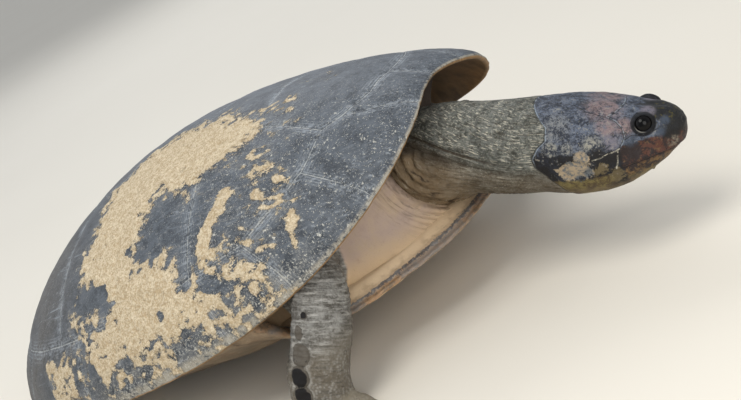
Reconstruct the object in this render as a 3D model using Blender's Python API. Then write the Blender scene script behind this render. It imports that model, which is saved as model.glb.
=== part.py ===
"""Giant river turtle, life size, standing with its neck stretched out. Metres, +X forward, +Y left, +Z up."""
import math

import bmesh
import bpy
import numpy as np
from mathutils import Matrix, Vector

# shell
SHELL = 0.66                  # plan length that the proportions below are measured in
PITCH = math.radians(8.0)     # nose-up attitude of the shell
FRONT_HALF, REAR_HALF = 0.500, 0.538
HALF_WIDTH = 0.374            # widest half width, in shell lengths
PLAN_POWER = 2.476            # squareness of the plan outline
REAR_FLARE = 0.273            # widening toward the back
FRONT_TAPER = 0.038
FRONT_DIP = 0.020             # shallow nuchal dip of the front edge
RIM_FRONT, RIM_SIDE, RIM_REAR = 0.1275, -0.0377, 0.0111
ARCH_FRONT, ARCH_REAR = 0.877, 0.904
CROWN = 0.2367                # height of the crown over the reference level
CROWN_X = -0.044
SLOPE_FRONT, SLOPE_SIDE, SLOPE_REAR = 0.7636, 0.5693, 0.660
SHELL_THICK = 0.0070
GAP = 0.0004                  # clearance between touching pieces
COLS = 52                     # columns round the shell

# plastron, in shell lengths unless noted
LOBE_FRONT, LOBE_REAR, LOBE_HALF = 0.434, 0.405, 0.262
LOBE_POWER = 2.4
PLATE_LEVEL = -0.079
PLATE_THICK = 0.009           # metres
WING_CLEAR = 0.0026           # room between the bridge and the trunk, metres
ANAL_NOTCH = 0.045
BRIDGE_FROM, BRIDGE_TO = math.radians(70), math.radians(108)
BRIDGE_BLEND = math.radians(13)

# trunk skin
SKIN_RECESS_FRONT, SKIN_RECESS_REAR = 0.050, 0.030
SKIN_MARGIN = 0.032

# neck and head, in metres in the shell frame
HEAD_BASE = (0.3815, -0.0119, -0.0185)
HEAD_YAW, HEAD_PITCH = math.radians(10.4), math.radians(-19.6)
HEAD_LENGTH = 0.129
NECK_ROOT = (0.190, 0.0, 0.010)
NECK_ARCH = 0.008
EYE_RADIUS = 0.0100
EYE_ALONG, EYE_OUT, EYE_UP = 0.7535, 0.0190, 0.0167
MOUTH_DROP = 0.0135
JAW_START = 0.40

# limbs, in metres in the floor frame; y is for the right side
CLAW_LENGTH = 0.017
TAIL_LENGTH = 0.070


def clearScene():
    for obj in list(bpy.data.objects):
        bpy.data.objects.remove(obj, do_unlink=True)


def makeMaterial(name, colour, roughness):
    mat = bpy.data.materials.new(name)
    mat.use_nodes = True
    shader = mat.node_tree.nodes["Principled BSDF"]
    shader.inputs["Base Color"].default_value = (*colour, 1.0)
    shader.inputs["Roughness"].default_value = roughness
    mat.diffuse_color = (*colour, 1.0)
    return mat


def smoothStep(x):
    x = np.clip(x, 0.0, 1.0)
    return x * x * (3.0 - 2.0 * x)


def toFloor(points, lift):
    """Tilts shell-frame metres nose-up and lifts them over the floor."""
    c, s = math.cos(PITCH), math.sin(PITCH)
    p = np.asarray(points, float)
    return np.stack([p[..., 0] * c - p[..., 2] * s, p[..., 1], p[..., 0] * s + p[..., 2] * c + lift], -1)


# Lowest line of the plate's rear end: it sets the ride height, so the plate rests on a short flat.
REST_X, REST_Z = -0.372, PLATE_LEVEL
LIFT = -SHELL * (REST_X * math.sin(PITCH) + REST_Z * math.cos(PITCH))


def angles():
    return (np.arange(COLS) + 0.5) * 2.0 * math.pi / COLS - math.pi


def superPower(v, power):
    return np.sign(v) * np.abs(v) ** (2.0 / power)


def rimLine(th, inset=0.0):
    """The shell's edge as a space curve, moved inward in plan by inset metres."""
    c, s = np.cos(th), np.sin(th)
    a = np.abs(np.arctan2(s, c))
    x = np.where(c > 0, FRONT_HALF, REAR_HALF) * superPower(c, PLAN_POWER)
    y = HALF_WIDTH * superPower(s, PLAN_POWER)
    y = y * (1 - REAR_FLARE * x - FRONT_TAPER * 4 * np.maximum(x, 0) ** 2)
    x = x - FRONT_DIP * np.exp(-(a / 0.16) ** 2)
    z = RIM_SIDE + (RIM_FRONT - RIM_SIDE) * np.exp(-(a / ARCH_FRONT) ** 1.45)
    z = z + (RIM_REAR - RIM_SIDE) * np.exp(-((math.pi - a) / ARCH_REAR) ** 2)
    plan = np.stack([x, y], -1) * SHELL
    size = np.linalg.norm(plan, axis=-1, keepdims=True)
    plan = plan * (1 - inset / size)
    return np.concatenate([plan, z[:, None] * SHELL], -1)


def domeLine(r, th, inset=0.0, drop=0.0):
    """Ring r of the vault: 0 is the crown, 1 is the edge."""
    edge = rimLine(th, inset)
    centre = np.array([CROWN_X * SHELL, 0.0, 0.0])
    p = centre + (edge - centre) * r
    c = np.cos(th)
    front, rear = np.clip(c, 0, 1) ** 2, np.clip(-c, 0, 1) ** 2
    power = SLOPE_FRONT * front + SLOPE_REAR * rear + SLOPE_SIDE * (1 - front - rear)
    f = max(1 - r * r, 0.0) ** power
    p[:, 2] = edge[:, 2] * (1 - f) + (CROWN * SHELL - inset) * f - drop
    return p


def crownPoint(inset=0.0, drop=0.0):
    return np.array([CROWN_X * SHELL, 0.0, CROWN * SHELL - inset - drop])


def loft(name, rings, mat, start=None, end=None, angle=40):
    """Closed body through rings of equal count, with pole points or flat fans at its ends."""
    count = len(rings[0])
    start = rings[0].mean(axis=0) if start is None else start
    end = rings[-1].mean(axis=0) if end is None else end
    verts = [tuple(start)] + [tuple(p) for ring in rings for p in ring] + [tuple(end)]
    faces = [(0, 1 + (i + 1) % count, 1 + i) for i in range(count)]
    for k in range(len(rings) - 1):
        a, b = 1 + k * count, 1 + (k + 1) * count
        for i in range(count):
            j = (i + 1) % count
            faces += [(a + i, a + j, b + j), (a + i, b + j, b + i)]
    last, base = len(verts) - 1, 1 + (len(rings) - 1) * count
    faces += [(last, base + i, base + (i + 1) % count) for i in range(count)]
    mesh = bpy.data.meshes.new(name)
    mesh.from_pydata(verts, [], faces)
    bm = bmesh.new()
    bm.from_mesh(mesh)
    bmesh.ops.recalc_face_normals(bm, faces=bm.faces)
    if bm.calc_volume(signed=True) < 0:
        bmesh.ops.reverse_faces(bm, faces=bm.faces)
    bm.to_mesh(mesh)
    bm.free()
    obj = bpy.data.objects.new(name, mesh)
    bpy.context.scene.collection.objects.link(obj)
    obj.data.materials.append(mat)
    shade(obj, angle)
    return obj


def shade(obj, angle):
    obj.data.polygons.foreach_set("use_smooth", [True] * len(obj.data.polygons))
    obj.data.set_sharp_from_angle(angle=math.radians(angle))


def fattened(obj, amount=GAP):
    """Copy of a body, grown along its normals, to cut its neighbours clear of it."""
    mesh = obj.data.copy()
    bm = bmesh.new()
    bm.from_mesh(mesh)
    bm.normal_update()
    moves = [(v, v.normal.copy()) for v in bm.verts]
    for v, n in moves:
        v.co += n * amount
    bm.to_mesh(mesh)
    bm.free()
    copy = bpy.data.objects.new(obj.name + "_cutter", mesh)
    bpy.context.scene.collection.objects.link(copy)
    return copy


def combine(obj, cutter, operation, angle=40):
    """Applies one exact boolean and removes the cutter."""
    mod = obj.modifiers.new("cut", "BOOLEAN")
    mod.operation, mod.solver, mod.object = operation, "EXACT", cutter
    graph = bpy.context.evaluated_depsgraph_get()
    mesh = bpy.data.meshes.new_from_object(obj.evaluated_get(graph))
    obj.modifiers.clear()
    obj.data = mesh
    bpy.data.objects.remove(cutter, do_unlink=True)
    keepLargest(obj)
    shade(obj, angle)


def keepLargest(obj):
    """Drops stray slivers, so a node stays one closed body."""
    bm = bmesh.new()
    bm.from_mesh(obj.data)
    bmesh.ops.dissolve_degenerate(bm, dist=0.00005, edges=bm.edges)
    bmesh.ops.triangulate(bm, faces=bm.faces)
    left, best = set(bm.verts), []
    while left:
        stack, island = [left.pop()], []
        while stack:
            v = stack.pop()
            island.append(v)
            for e in v.link_edges:
                w = e.other_vert(v)
                if w in left:
                    left.remove(w)
                    stack.append(w)
        if len(island) > len(best):
            best = island
    keep = set(best)
    bmesh.ops.delete(bm, geom=[v for v in bm.verts if v not in keep], context="VERTS")
    bm.to_mesh(obj.data)
    bm.free()


def cutBy(obj, *others):
    for other in others:
        combine(obj, fattened(other), "DIFFERENCE")


# ---------------------------------------------------------------- shell

INNER_R = (0.985, 0.93, 0.90, 0.80, 0.66, 0.50, 0.30)


def buildCarapace(mat):
    th = angles()
    outer = [domeLine(r, th) for r in (0.18, 0.36, 0.52, 0.66, 0.78, 0.87, 0.935, 0.975, 0.994)]
    edge = rimLine(th)
    lip = rimLine(th, SHELL_THICK * 0.5)
    lip[:, 2] -= 0.0022
    inner = [domeLine(r, th, SHELL_THICK) for r in INNER_R]
    innerEdge = rimLine(th, SHELL_THICK)
    rings = outer + [edge, lip, innerEdge] + inner
    rings = [toFloor(ring, LIFT) for ring in rings]
    start, end = toFloor(crownPoint(), LIFT), toFloor(crownPoint(SHELL_THICK), LIFT)
    return loft("carapace", rings, mat, start, end)


def bridgeWeight(th):
    a = np.abs(np.arctan2(np.sin(th), np.cos(th)))
    rise = smoothStep((a - BRIDGE_FROM) / BRIDGE_BLEND + 0.5)
    return rise * (1 - smoothStep((a - BRIDGE_TO) / BRIDGE_BLEND + 0.5))


def lobeLine(th, scale=1.0, level=0.0, inset=0.0):
    """Outline of the flat plate, level metres over its lower face."""
    c, s = np.cos(th), np.sin(th)
    a = np.abs(np.arctan2(s, c))
    x = np.where(c > 0, LOBE_FRONT, LOBE_REAR) * superPower(c, LOBE_POWER)
    y = LOBE_HALF * superPower(s, LOBE_POWER) * (1 - 0.28 * smoothStep((-x - 0.10) / 0.30))
    x = x + ANAL_NOTCH * np.exp(-((math.pi - a) / 0.24) ** 2)
    plan = np.stack([x, y], -1) * SHELL
    size = np.linalg.norm(plan, axis=-1, keepdims=True)
    plan = plan * scale * (1 - inset / size)
    return np.concatenate([plan, np.full((len(th), 1), PLATE_LEVEL * SHELL + level)], -1)


def blend(a, b, w):
    return a * (1 - w[:, None]) + b * w[:, None]


def wingTop(th, u, clearance=0.0):
    """Upper side of the bridge: u 0 at its outer end under the shell, 1 where it joins the plate."""
    outer = domeLine(0.93, th, SHELL_THICK + GAP * 1.2, GAP)
    inner = lobeLine(th, 0.93, PLATE_THICK)
    p = outer * (1 - u) + inner * u
    sag = 0.006 * math.sin(math.pi * u)
    p[:, 2] += clearance - sag
    return p


def buildPlastron(mat):
    th = angles()
    w = bridgeWeight(th)
    flat = [lobeLine(th, s, lv) for s, lv in ((0.30, 0.0), (0.62, 0.0), (0.90, 0.0))]
    lobeEdge = lobeLine(th, 1.0, 0.0006)
    outerLow = domeLine(0.985, th, SHELL_THICK + GAP * 1.2, GAP)
    lowMid = blend(lobeLine(th, 0.97, 0.0), lobeLine(th, 1.0, 0.0) * 0.45 + outerLow * 0.55, w)
    lowMid[:, 2] -= 0.004 * w
    lowEdge = blend(lobeEdge, outerLow, w)
    upEdge = blend(lobeLine(th, 1.0, PLATE_THICK * 0.8, 0.002), wingTop(th, 0.0), w)
    upMid = blend(lobeLine(th, 0.97, PLATE_THICK), wingTop(th, 0.5), w)
    upIn = lobeLine(th, 0.93, PLATE_THICK)
    top = [lobeLine(th, 0.62, PLATE_THICK), lobeLine(th, 0.30, PLATE_THICK)]
    rings = [toFloor(r, LIFT) for r in flat + [lowMid, lowEdge, upEdge, upMid, upIn] + top]
    for ring in rings:
        ring[:, 2] = np.maximum(ring[:, 2], 0.0)
    plate = np.array([0.0, 0.0, PLATE_LEVEL * SHELL])
    lift = np.array([0.0, 0.0, PLATE_THICK])
    return loft("plastron", rings, mat, toFloor(plate, LIFT), toFloor(plate + lift, LIFT))


def buildTrunk(mat):
    """Body that fills the shell, with the concave skin seen at the front and rear openings."""
    th = angles()
    w = bridgeWeight(th)
    vault = [domeLine(r, th, SHELL_THICK, GAP) for r in reversed(INNER_R[2:])]
    attach = domeLine(0.90, th, SHELL_THICK, GAP)
    margin = SKIN_MARGIN * SHELL
    foot = lobeLine(th, 1.0, PLATE_THICK + GAP, margin)
    front = smoothStep(np.cos(th) * 1.4 + 0.2)
    recess = (SKIN_RECESS_FRONT * front + SKIN_RECESS_REAR * (1 - front)) * SHELL
    skin = []
    for u in (0.2, 0.45, 0.7, 0.9):
        free = attach * (1 - u) + foot * u
        size = np.linalg.norm(free[:, :2], axis=-1)
        pull = recess * math.sin(math.pi * u) ** 0.8
        free[:, :2] *= (1 - pull / size)[:, None]
        skin.append(blend(free, wingTop(th, u, WING_CLEAR), w))
    footIn = blend(foot, lobeLine(th, 0.90, PLATE_THICK + WING_CLEAR * 0.5), w)
    under = [lobeLine(th, s, PLATE_THICK + GAP) for s in (0.62, 0.30)]
    rings = [toFloor(r, LIFT) for r in reversed(vault + skin + [footIn] + under)]
    floor = np.array([0.0, 0.0, PLATE_LEVEL * SHELL + PLATE_THICK + GAP])
    return loft("trunk", rings, mat, toFloor(floor, LIFT), toFloor(crownPoint(SHELL_THICK, GAP), LIFT))


# ---------------------------------------------------------------- neck and head

def headAxes():
    cy, sy, cp, sp = math.cos(HEAD_YAW), math.sin(HEAD_YAW), math.cos(HEAD_PITCH), math.sin(HEAD_PITCH)
    forward = np.array([cp * cy, cp * sy, sp])
    left = np.array([-sy, cy, 0.0])
    return forward, left, np.cross(forward, left)


def neckCurve(t):
    """Cubic from the root inside the body to the back of the head."""
    p0, p1 = np.array(NECK_ROOT), np.array(HEAD_BASE)
    d0, d1 = np.array([0.20, 0.0, 0.03]), headAxes()[0] * 0.17
    h = (2 * t ** 3 - 3 * t ** 2 + 1, t ** 3 - 2 * t ** 2 + t, -2 * t ** 3 + 3 * t ** 2, t ** 3 - t ** 2)
    return h[0] * p0 + h[1] * d0 + h[2] * p1 + h[3] * d1


def ellipseRing(centre, side, up, halfWidth, top, bottom, count, power=2.0):
    a = (np.arange(count) + 0.5) * 2 * math.pi / count
    c, s = superPower(np.cos(a), power), superPower(np.sin(a), power)
    height = np.where(s > 0, top, bottom)
    return centre + side[None] * (halfWidth * c)[:, None] + up[None] * (height * s)[:, None]


def buildNeck(mat):
    rings = []
    steps = 9
    for k in range(steps + 1):
        t = k / steps
        p, q = neckCurve(max(t - 0.01, 0)), neckCurve(min(t + 0.01, 1))
        ahead = (q - p) / np.linalg.norm(q - p)
        side = np.cross([0, 0, 1], ahead)
        side /= np.linalg.norm(side)
        up = np.cross(ahead, side)
        swell = (1 - t) ** 2
        width = 0.0405 + 0.016 * swell
        height = 0.0418 + 0.008 * swell
        centre = neckCurve(t) + np.array([0.0, 0.0, NECK_ARCH * math.sin(math.pi * t) ** 2])
        rings.append(toFloor(ellipseRing(centre, side, up, width, height, height + 0.004 * swell, 20), LIFT))
    return loft("neck", rings, mat)


def headProfile(s):
    """Half width, rise over the axis and depth under it at fraction s of the head's length."""
    width = np.interp(s, (0, 0.12, 0.28, 0.45, 0.60, 0.74, 0.86, 0.94, 0.985, 1.0),
                      (0.0405, 0.0460, 0.0490, 0.0475, 0.0420, 0.0335, 0.0240, 0.0170, 0.0115, 0.0060))
    rise = np.interp(s, (0, 0.12, 0.28, 0.45, 0.60, 0.74, 0.86, 0.94, 0.985, 1.0),
                     (0.0422, 0.0425, 0.0405, 0.0368, 0.0325, 0.0285, 0.0245, 0.0208, 0.0160, 0.0100))
    depth = np.interp(s, (0, 0.12, 0.28, 0.45, 0.60, 0.74, 0.86, 0.94, 0.985, 1.0),
                      (0.0400, 0.0420, 0.0435, 0.0428, 0.0388, 0.0305, 0.0215, 0.0132, 0.0075, 0.0035))
    return width, rise, depth


def headPoint(along, left, up):
    f, l, u = headAxes()
    return np.array(HEAD_BASE) + f * (along * HEAD_LENGTH) + l * left + u * up


def buildHead(mat):
    f, l, u = headAxes()
    rings = []
    for s in (0.004, 0.12, 0.24, 0.36, 0.48, 0.60, 0.70, 0.80, 0.88, 0.94, 0.98, 1.0):
        width, rise, depth = headProfile(s)
        centre = np.array(HEAD_BASE) + f * (s * HEAD_LENGTH)
        rings.append(toFloor(ellipseRing(centre, l, u, width, rise, depth, 20, 2.25), LIFT))
    return loft("head", rings, mat)


def orientedBox(name, centre, axes, halves):
    """Box cutter with the given axes, in the floor frame."""
    corners = []
    for sx in (-1, 1):
        for sy in (-1, 1):
            for sz in (-1, 1):
                corner = centre + axes[0] * sx * halves[0] + axes[1] * sy * halves[1] + axes[2] * sz * halves[2]
                corners.append(corner)
    verts = toFloor(np.array(corners), LIFT)
    faces = [(0, 1, 3, 2), (4, 6, 7, 5), (0, 4, 5, 1), (2, 3, 7, 6), (0, 2, 6, 4), (1, 5, 7, 3)]
    mesh = bpy.data.meshes.new(name)
    mesh.from_pydata([tuple(v) for v in verts], [], faces)
    bm = bmesh.new()
    bm.from_mesh(mesh)
    bmesh.ops.recalc_face_normals(bm, faces=bm.faces)
    bm.to_mesh(mesh)
    bm.free()
    obj = bpy.data.objects.new(name, mesh)
    bpy.context.scene.collection.objects.link(obj)
    return obj


def jawBox(grow):
    """Block that holds the lower jaw: ahead of the jaw joint and under the mouth line."""
    f, l, u = headAxes()
    tilt = math.radians(3)
    fwd = f * math.cos(tilt) + u * math.sin(tilt)
    upw = np.cross(fwd, l)
    centre = headPoint(JAW_START, 0, -MOUTH_DROP) + fwd * (0.10 - grow) - upw * (0.05 - grow)
    return orientedBox("jaw_block", centre, (fwd, l, upw), (0.10, 0.08, 0.05))


def buildJaw(head, mat):
    jaw = head.copy()
    jaw.data = head.data.copy()
    jaw.name = jaw.data.name = "lower_jaw"
    bpy.context.scene.collection.objects.link(jaw)
    jaw.data.materials.clear()
    jaw.data.materials.append(mat)
    combine(jaw, jawBox(0.0), "INTERSECT")
    combine(head, jawBox(GAP), "DIFFERENCE")
    return jaw


def sphereRings(centre, radius, count, rows):
    rings = []
    for k in range(1, rows):
        a = math.pi * k / rows
        ring = ellipseRing(centre + np.array([0, 0, radius * math.cos(a)]), np.array([1.0, 0, 0]),
                           np.array([0, 1.0, 0]), radius * math.sin(a), radius * math.sin(a),
                           radius * math.sin(a), count)
        rings.append(ring)
    return rings


def buildEye(name, side, mat, radius=EYE_RADIUS):
    centre = toFloor(headPoint(EYE_ALONG, side * EYE_OUT, EYE_UP), LIFT)
    pole = np.array([0, 0, radius])
    return loft(name, sphereRings(centre, radius, 12, 7), mat, centre + pole, centre - pole)


# ---------------------------------------------------------------- limbs and tail

def sweep(name, path, sizes, mat, count=12, steps=7, flat=0.0):
    """Limb through control points, with a half width and half height at each."""
    path, sizes = np.array(path, float), np.array(sizes, float)
    knots = np.linspace(0, 1, len(path))
    ts = np.linspace(0, 1, steps + 1)

    def at(t):
        x = np.clip(t, 0, 1) * (len(path) - 1)
        i = int(min(math.floor(x), len(path) - 2))
        f = x - i
        p = [path[max(i - 1, 0)], path[i], path[i + 1], path[min(i + 2, len(path) - 1)]]
        return 0.5 * (2 * p[1] + (p[2] - p[0]) * f + (2 * p[0] - 5 * p[1] + 4 * p[2] - p[3]) * f * f
                      + (3 * p[1] - p[0] - 3 * p[2] + p[3]) * f ** 3)

    rings, side = [], None
    for t in ts:
        ahead = at(t + 0.02) - at(t - 0.02)
        ahead /= np.linalg.norm(ahead)
        guide = np.array([1.0, 0.0, 0.0]) if side is None else side
        side = guide - ahead * guide.dot(ahead)
        side /= np.linalg.norm(side)
        up = np.cross(ahead, side)
        w = np.interp(t, knots, sizes[:, 0])
        h = np.interp(t, knots, sizes[:, 1])
        ring = ellipseRing(at(t), side, up, w, h, h, count, 2.2)
        ring[:, 2] = np.maximum(ring[:, 2], flat)
        rings.append(ring)
    return loft(name, rings, mat)


def buildFoot(name, heel, yaw, length, width, height, mat):
    """Webbed foot on the floor: thick at the heel, thin and wide at the web."""
    ahead = np.array([math.cos(yaw), math.sin(yaw), 0.0])
    side = np.array([-math.sin(yaw), math.cos(yaw), 0.0])
    rings = []
    for s in (0.0, 0.07, 0.25, 0.5, 0.75, 0.93, 1.0):
        half = width * (0.36 + 0.64 * smoothStep(s * 1.25)) * (1 - 0.25 * smoothStep((s - 0.85) / 0.15))
        half *= 0.72 + 0.28 * smoothStep(s / 0.1)
        tall = height * (1 - 0.62 * smoothStep(s * 1.1)) * (0.55 + 0.45 * smoothStep(s / 0.12))
        tall *= 1 - 0.35 * smoothStep((s - 0.85) / 0.15)
        centre = np.array([heel[0], heel[1], 0.0]) + ahead * (s * length)
        centre[2] = tall * 0.40
        ring = ellipseRing(centre, side, np.array([0, 0, 1.0]), half, tall * 0.60, tall * 0.60, 16, 2.4)
        ring[:, 2] = np.maximum(ring[:, 2], 0.0)
        rings.append(ring)
    return loft(name, rings, mat)


def toeRoots(heel, yaw, length, width, count, fan):
    """Claw roots and headings along the web's front edge."""
    out = []
    for k in range(count):
        f = (k / (count - 1)) * 2 - 1
        heading = yaw + fan * f
        reach = length * (0.965 - 0.10 * f * f)
        across = width * 0.74 * f
        x = heel[0] + math.cos(yaw) * reach - math.sin(yaw) * across
        y = heel[1] + math.sin(yaw) * reach + math.cos(yaw) * across
        out.append((x, y, heading))
    return out


def buildClaw(name, x, y, heading, size, mat):
    """Blunt horn claw, curved down to just over the floor."""
    rings = []
    ahead = np.array([math.cos(heading), math.sin(heading), 0.0])
    side = np.array([-math.sin(heading), math.cos(heading), 0.0])
    for s in (-0.35, 0.1, 0.5, 0.88):
        r = size * 0.215 * (1 - 0.80 * max(s, 0) ** 1.3)
        drop = size * (0.26 - 0.13 * max(s, 0) ** 2)
        centre = np.array([x, y, 0.0]) + ahead * (size * s) + np.array([0, 0, max(drop, r * 1.05 + 0.0006)])
        rings.append(ellipseRing(centre, side, np.array([0, 0, 1.0]), r, r * 1.05, r * 0.95, 6))
    tip = np.array([x, y, 0.0]) + ahead * size + np.array([0, 0, size * 0.115])
    return loft(name, rings, mat, None, tip)


LIMBS = (
    # name, side, path points, sizes, heel, yaw, foot length, half width, height, claws, fan
    ("foreleg", -1, ((0.095, -0.075, 0.105), (0.150, -0.125, 0.112), (0.192, -0.178, 0.088), (0.186, -0.212, 0.045),
                     (0.186, -0.220, 0.012)),
     ((0.036, 0.036), (0.036, 0.036), (0.033, 0.031), (0.030, 0.026), (0.027, 0.022)),
     (0.1700, -0.2020), math.radians(-38), 0.086, 0.037, 0.034, 5, 0.45),
    ("foreleg", 1, ((0.095, 0.075, 0.105), (0.145, 0.130, 0.112), (0.172, 0.190, 0.090), (0.160, 0.240, 0.045),
                    (0.160, 0.256, 0.012)),
     ((0.036, 0.036), (0.036, 0.036), (0.033, 0.031), (0.030, 0.026), (0.027, 0.022)),
     (0.136, 0.262), math.radians(-14), 0.092, 0.039, 0.034, 5, 0.45),
    ("hindleg", -1, ((-0.130, -0.095, 0.062), (-0.190, -0.130, 0.058), (-0.240, -0.160, 0.045),
                     (-0.268, -0.176, 0.026), (-0.276, -0.184, 0.012)),
     ((0.030, 0.024), (0.029, 0.022), (0.026, 0.019), (0.023, 0.017), (0.021, 0.014)),
     (-0.252, -0.166), math.radians(-136), 0.100, 0.038, 0.030, 4, 0.40),
    ("hindleg", 1, ((-0.130, 0.095, 0.062), (-0.190, 0.130, 0.058), (-0.240, 0.160, 0.045),
                    (-0.262, 0.180, 0.026), (-0.268, 0.188, 0.012)),
     ((0.030, 0.024), (0.029, 0.022), (0.026, 0.019), (0.023, 0.017), (0.021, 0.014)),
     (-0.246, 0.170), math.radians(140), 0.100, 0.038, 0.030, 4, 0.40),
)


def buildLimbs(skin, horn, solids):
    made = []
    for kind, side, path, sizes, heel, yaw, length, width, height, count, fan in LIMBS:
        hand = "right" if side < 0 else "left"
        foot = buildFoot(kind.replace("leg", "foot") + "_" + hand, heel, yaw, length, width, height, skin)
        leg = sweep(kind + "_" + hand, path, sizes, skin, flat=0.002)
        cutBy(leg, foot, *solids)
        for k, (x, y, heading) in enumerate(toeRoots(heel, yaw, length, width, count, fan)):
            claw = buildClaw("%s_claw_%s_%d" % (kind[:4], hand, k + 1), x, y, heading, CLAW_LENGTH, horn)
            cutBy(claw, foot)
        made += [leg, foot]
    return made


def buildTail(mat, trunk, plate):
    path = ((-0.200, 0.004, 0.050), (-0.255, 0.006, 0.046), (-0.300, 0.012, 0.034), (-0.340, 0.020, 0.020),
            (-0.340 - TAIL_LENGTH * 0.35, 0.026, 0.012))
    sizes = ((0.022, 0.019), (0.020, 0.017), (0.016, 0.014), (0.011, 0.010), (0.005, 0.005))
    tail = sweep("tail", path, sizes, mat, count=12, steps=7, flat=0.003)
    cutBy(tail, trunk, plate)
    return tail


def centreOnFloor():
    """Moves every body so the middle of the overall box, at floor level, is the origin."""
    bodies = [o for o in bpy.data.objects if o.type == "MESH"]
    pts = np.concatenate([[v.co[:] for v in o.data.vertices] for o in bodies])
    low, high = pts.min(axis=0), pts.max(axis=0)
    shift = Vector((-(low[0] + high[0]) / 2, -(low[1] + high[1]) / 2, -low[2]))
    for obj in bodies:
        obj.data.transform(Matrix.Translation(shift))
    print("shift", tuple(round(v, 5) for v in shift), "box", (high - low).round(4))


def main():
    clearScene()
    shell = makeMaterial("shell", (0.105, 0.115, 0.125), 0.62)
    plate = makeMaterial("plate", (0.52, 0.42, 0.27), 0.55)
    skin = makeMaterial("skin", (0.155, 0.150, 0.130), 0.60)
    headSkin = makeMaterial("head_skin", (0.150, 0.155, 0.165), 0.45)
    eyeMat = makeMaterial("eye", (0.012, 0.010, 0.009), 0.08)
    horn = makeMaterial("horn", (0.060, 0.052, 0.045), 0.45)
    carapace = buildCarapace(shell)
    plastron = buildPlastron(plate)
    trunk = buildTrunk(skin)
    neck = buildNeck(skin)
    head = buildHead(headSkin)
    for name, side in (("eye_left", 1), ("eye_right", -1)):
        eye = buildEye(name, side, eyeMat)
        cutBy(head, eye)
    buildJaw(head, headSkin)
    cutBy(neck, trunk)
    buildLimbs(skin, horn, (trunk, carapace, plastron))
    buildTail(skin, trunk, plastron)
    centreOnFloor()


main()
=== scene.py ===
import math

import bmesh
import bpy
import numpy as np
from mathutils import Matrix, Vector, noise
from mathutils.bvhtree import BVHTree


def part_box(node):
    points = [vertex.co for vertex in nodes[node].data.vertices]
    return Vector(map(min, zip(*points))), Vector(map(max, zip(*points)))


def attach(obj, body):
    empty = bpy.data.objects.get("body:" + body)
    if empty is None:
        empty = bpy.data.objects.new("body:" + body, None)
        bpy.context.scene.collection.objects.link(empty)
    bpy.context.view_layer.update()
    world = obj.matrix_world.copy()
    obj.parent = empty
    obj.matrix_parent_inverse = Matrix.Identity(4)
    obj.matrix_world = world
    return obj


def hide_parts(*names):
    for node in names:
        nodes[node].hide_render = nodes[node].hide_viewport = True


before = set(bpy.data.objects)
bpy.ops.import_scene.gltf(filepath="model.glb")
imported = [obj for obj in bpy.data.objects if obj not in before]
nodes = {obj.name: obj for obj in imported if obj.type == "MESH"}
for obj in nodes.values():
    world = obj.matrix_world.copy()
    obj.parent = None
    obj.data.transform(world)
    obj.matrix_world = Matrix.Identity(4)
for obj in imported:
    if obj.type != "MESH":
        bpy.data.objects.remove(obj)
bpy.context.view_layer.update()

scene = bpy.context.scene

# how the shell is held: nose-up tilt, height over the floor and place on it
shellPose = {"pitch": math.radians(8.0), "lift": 0.0858, "seat": (-0.0703, 0.0012)}

cameraSet = {
    "place": (0.8492, -0.8517, 0.4829),
    "right": (0.7516, 0.4632, -0.4697),
    "up": (0.1870, 0.5332, 0.8250),
    "lens": 56.56,
}


# small helpers

def ease(value, low=0.0, high=1.0):
    t = np.clip((value - low) / (high - low), 0.0, 1.0)
    return t * t * (3.0 - 2.0 * t)


def toRow(points):
    c, s = math.cos(shellPose["pitch"]), math.sin(shellPose["pitch"])
    p = np.asarray(points, float)
    x = p[..., 0] * c - p[..., 2] * s + shellPose["seat"][0]
    z = p[..., 0] * s + p[..., 2] * c + shellPose["lift"]
    return np.stack([x, p[..., 1] + shellPose["seat"][1], z], -1)


def toShell(points):
    c, s = math.cos(shellPose["pitch"]), math.sin(shellPose["pitch"])
    p = np.asarray(points, float)
    x, z = p[..., 0] - shellPose["seat"][0], p[..., 2] - shellPose["lift"]
    return np.stack([x * c + z * s, p[..., 1] - shellPose["seat"][1], -x * s + z * c], -1)


def readPoints(mesh):
    flat = np.empty(len(mesh.vertices) * 3, np.float32)
    mesh.vertices.foreach_get("co", flat)
    return flat.reshape(-1, 3).astype(float)


def readNormals(mesh):
    flat = np.empty(len(mesh.vertices) * 3, np.float32)
    mesh.vertex_normals.foreach_get("vector", flat)
    return flat.reshape(-1, 3).astype(float)


def writePoints(mesh, points):
    mesh.vertices.foreach_set("co", points.astype(np.float32).ravel())
    mesh.update()


def spotsOf(bm):
    return np.array([v.co[:] for v in bm.verts])


def pick(bm, mask):
    bm.verts.ensure_lookup_table()
    return [bm.verts[k] for k in np.nonzero(mask)[0]]


def unit(rows):
    return rows / np.maximum(np.linalg.norm(rows, axis=-1, keepdims=True), 1e-6)


def onLeft(points):
    # each point, or its twin on the left side
    return np.stack([points[:, 0], np.abs(points[:, 1]), points[:, 2]], -1)


def inBox(points, name, reach):
    low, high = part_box(name)
    return np.all((points > np.array(low) - reach) & (points < np.array(high) + reach), axis=1)


def boxMiddle(name):
    return np.mean(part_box(name), axis=0)


def addField(mesh, name, values):
    layer = mesh.attributes.new(name, "FLOAT", "POINT")
    layer.data.foreach_set("value", np.asarray(values, np.float32))


def bell(value, middle, width):
    return np.exp(-((value - middle) / width) ** 2)


def wobble(points, size, seed):
    # smooth repeatable undulation of about -1 to 1, size metres from crest to crest
    draw = np.random.default_rng(seed)
    total = np.zeros(len(points))
    for octave in (1.0, 2.1):
        for _ in range(6):
            heading = draw.normal(size=3)
            heading /= np.linalg.norm(heading)
            beat = 2 * math.pi * octave * draw.uniform(0.7, 1.4) / size
            total += np.sin(points @ heading * beat + draw.uniform(0, 6.28)) / octave
    return total / 5.0


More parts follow.
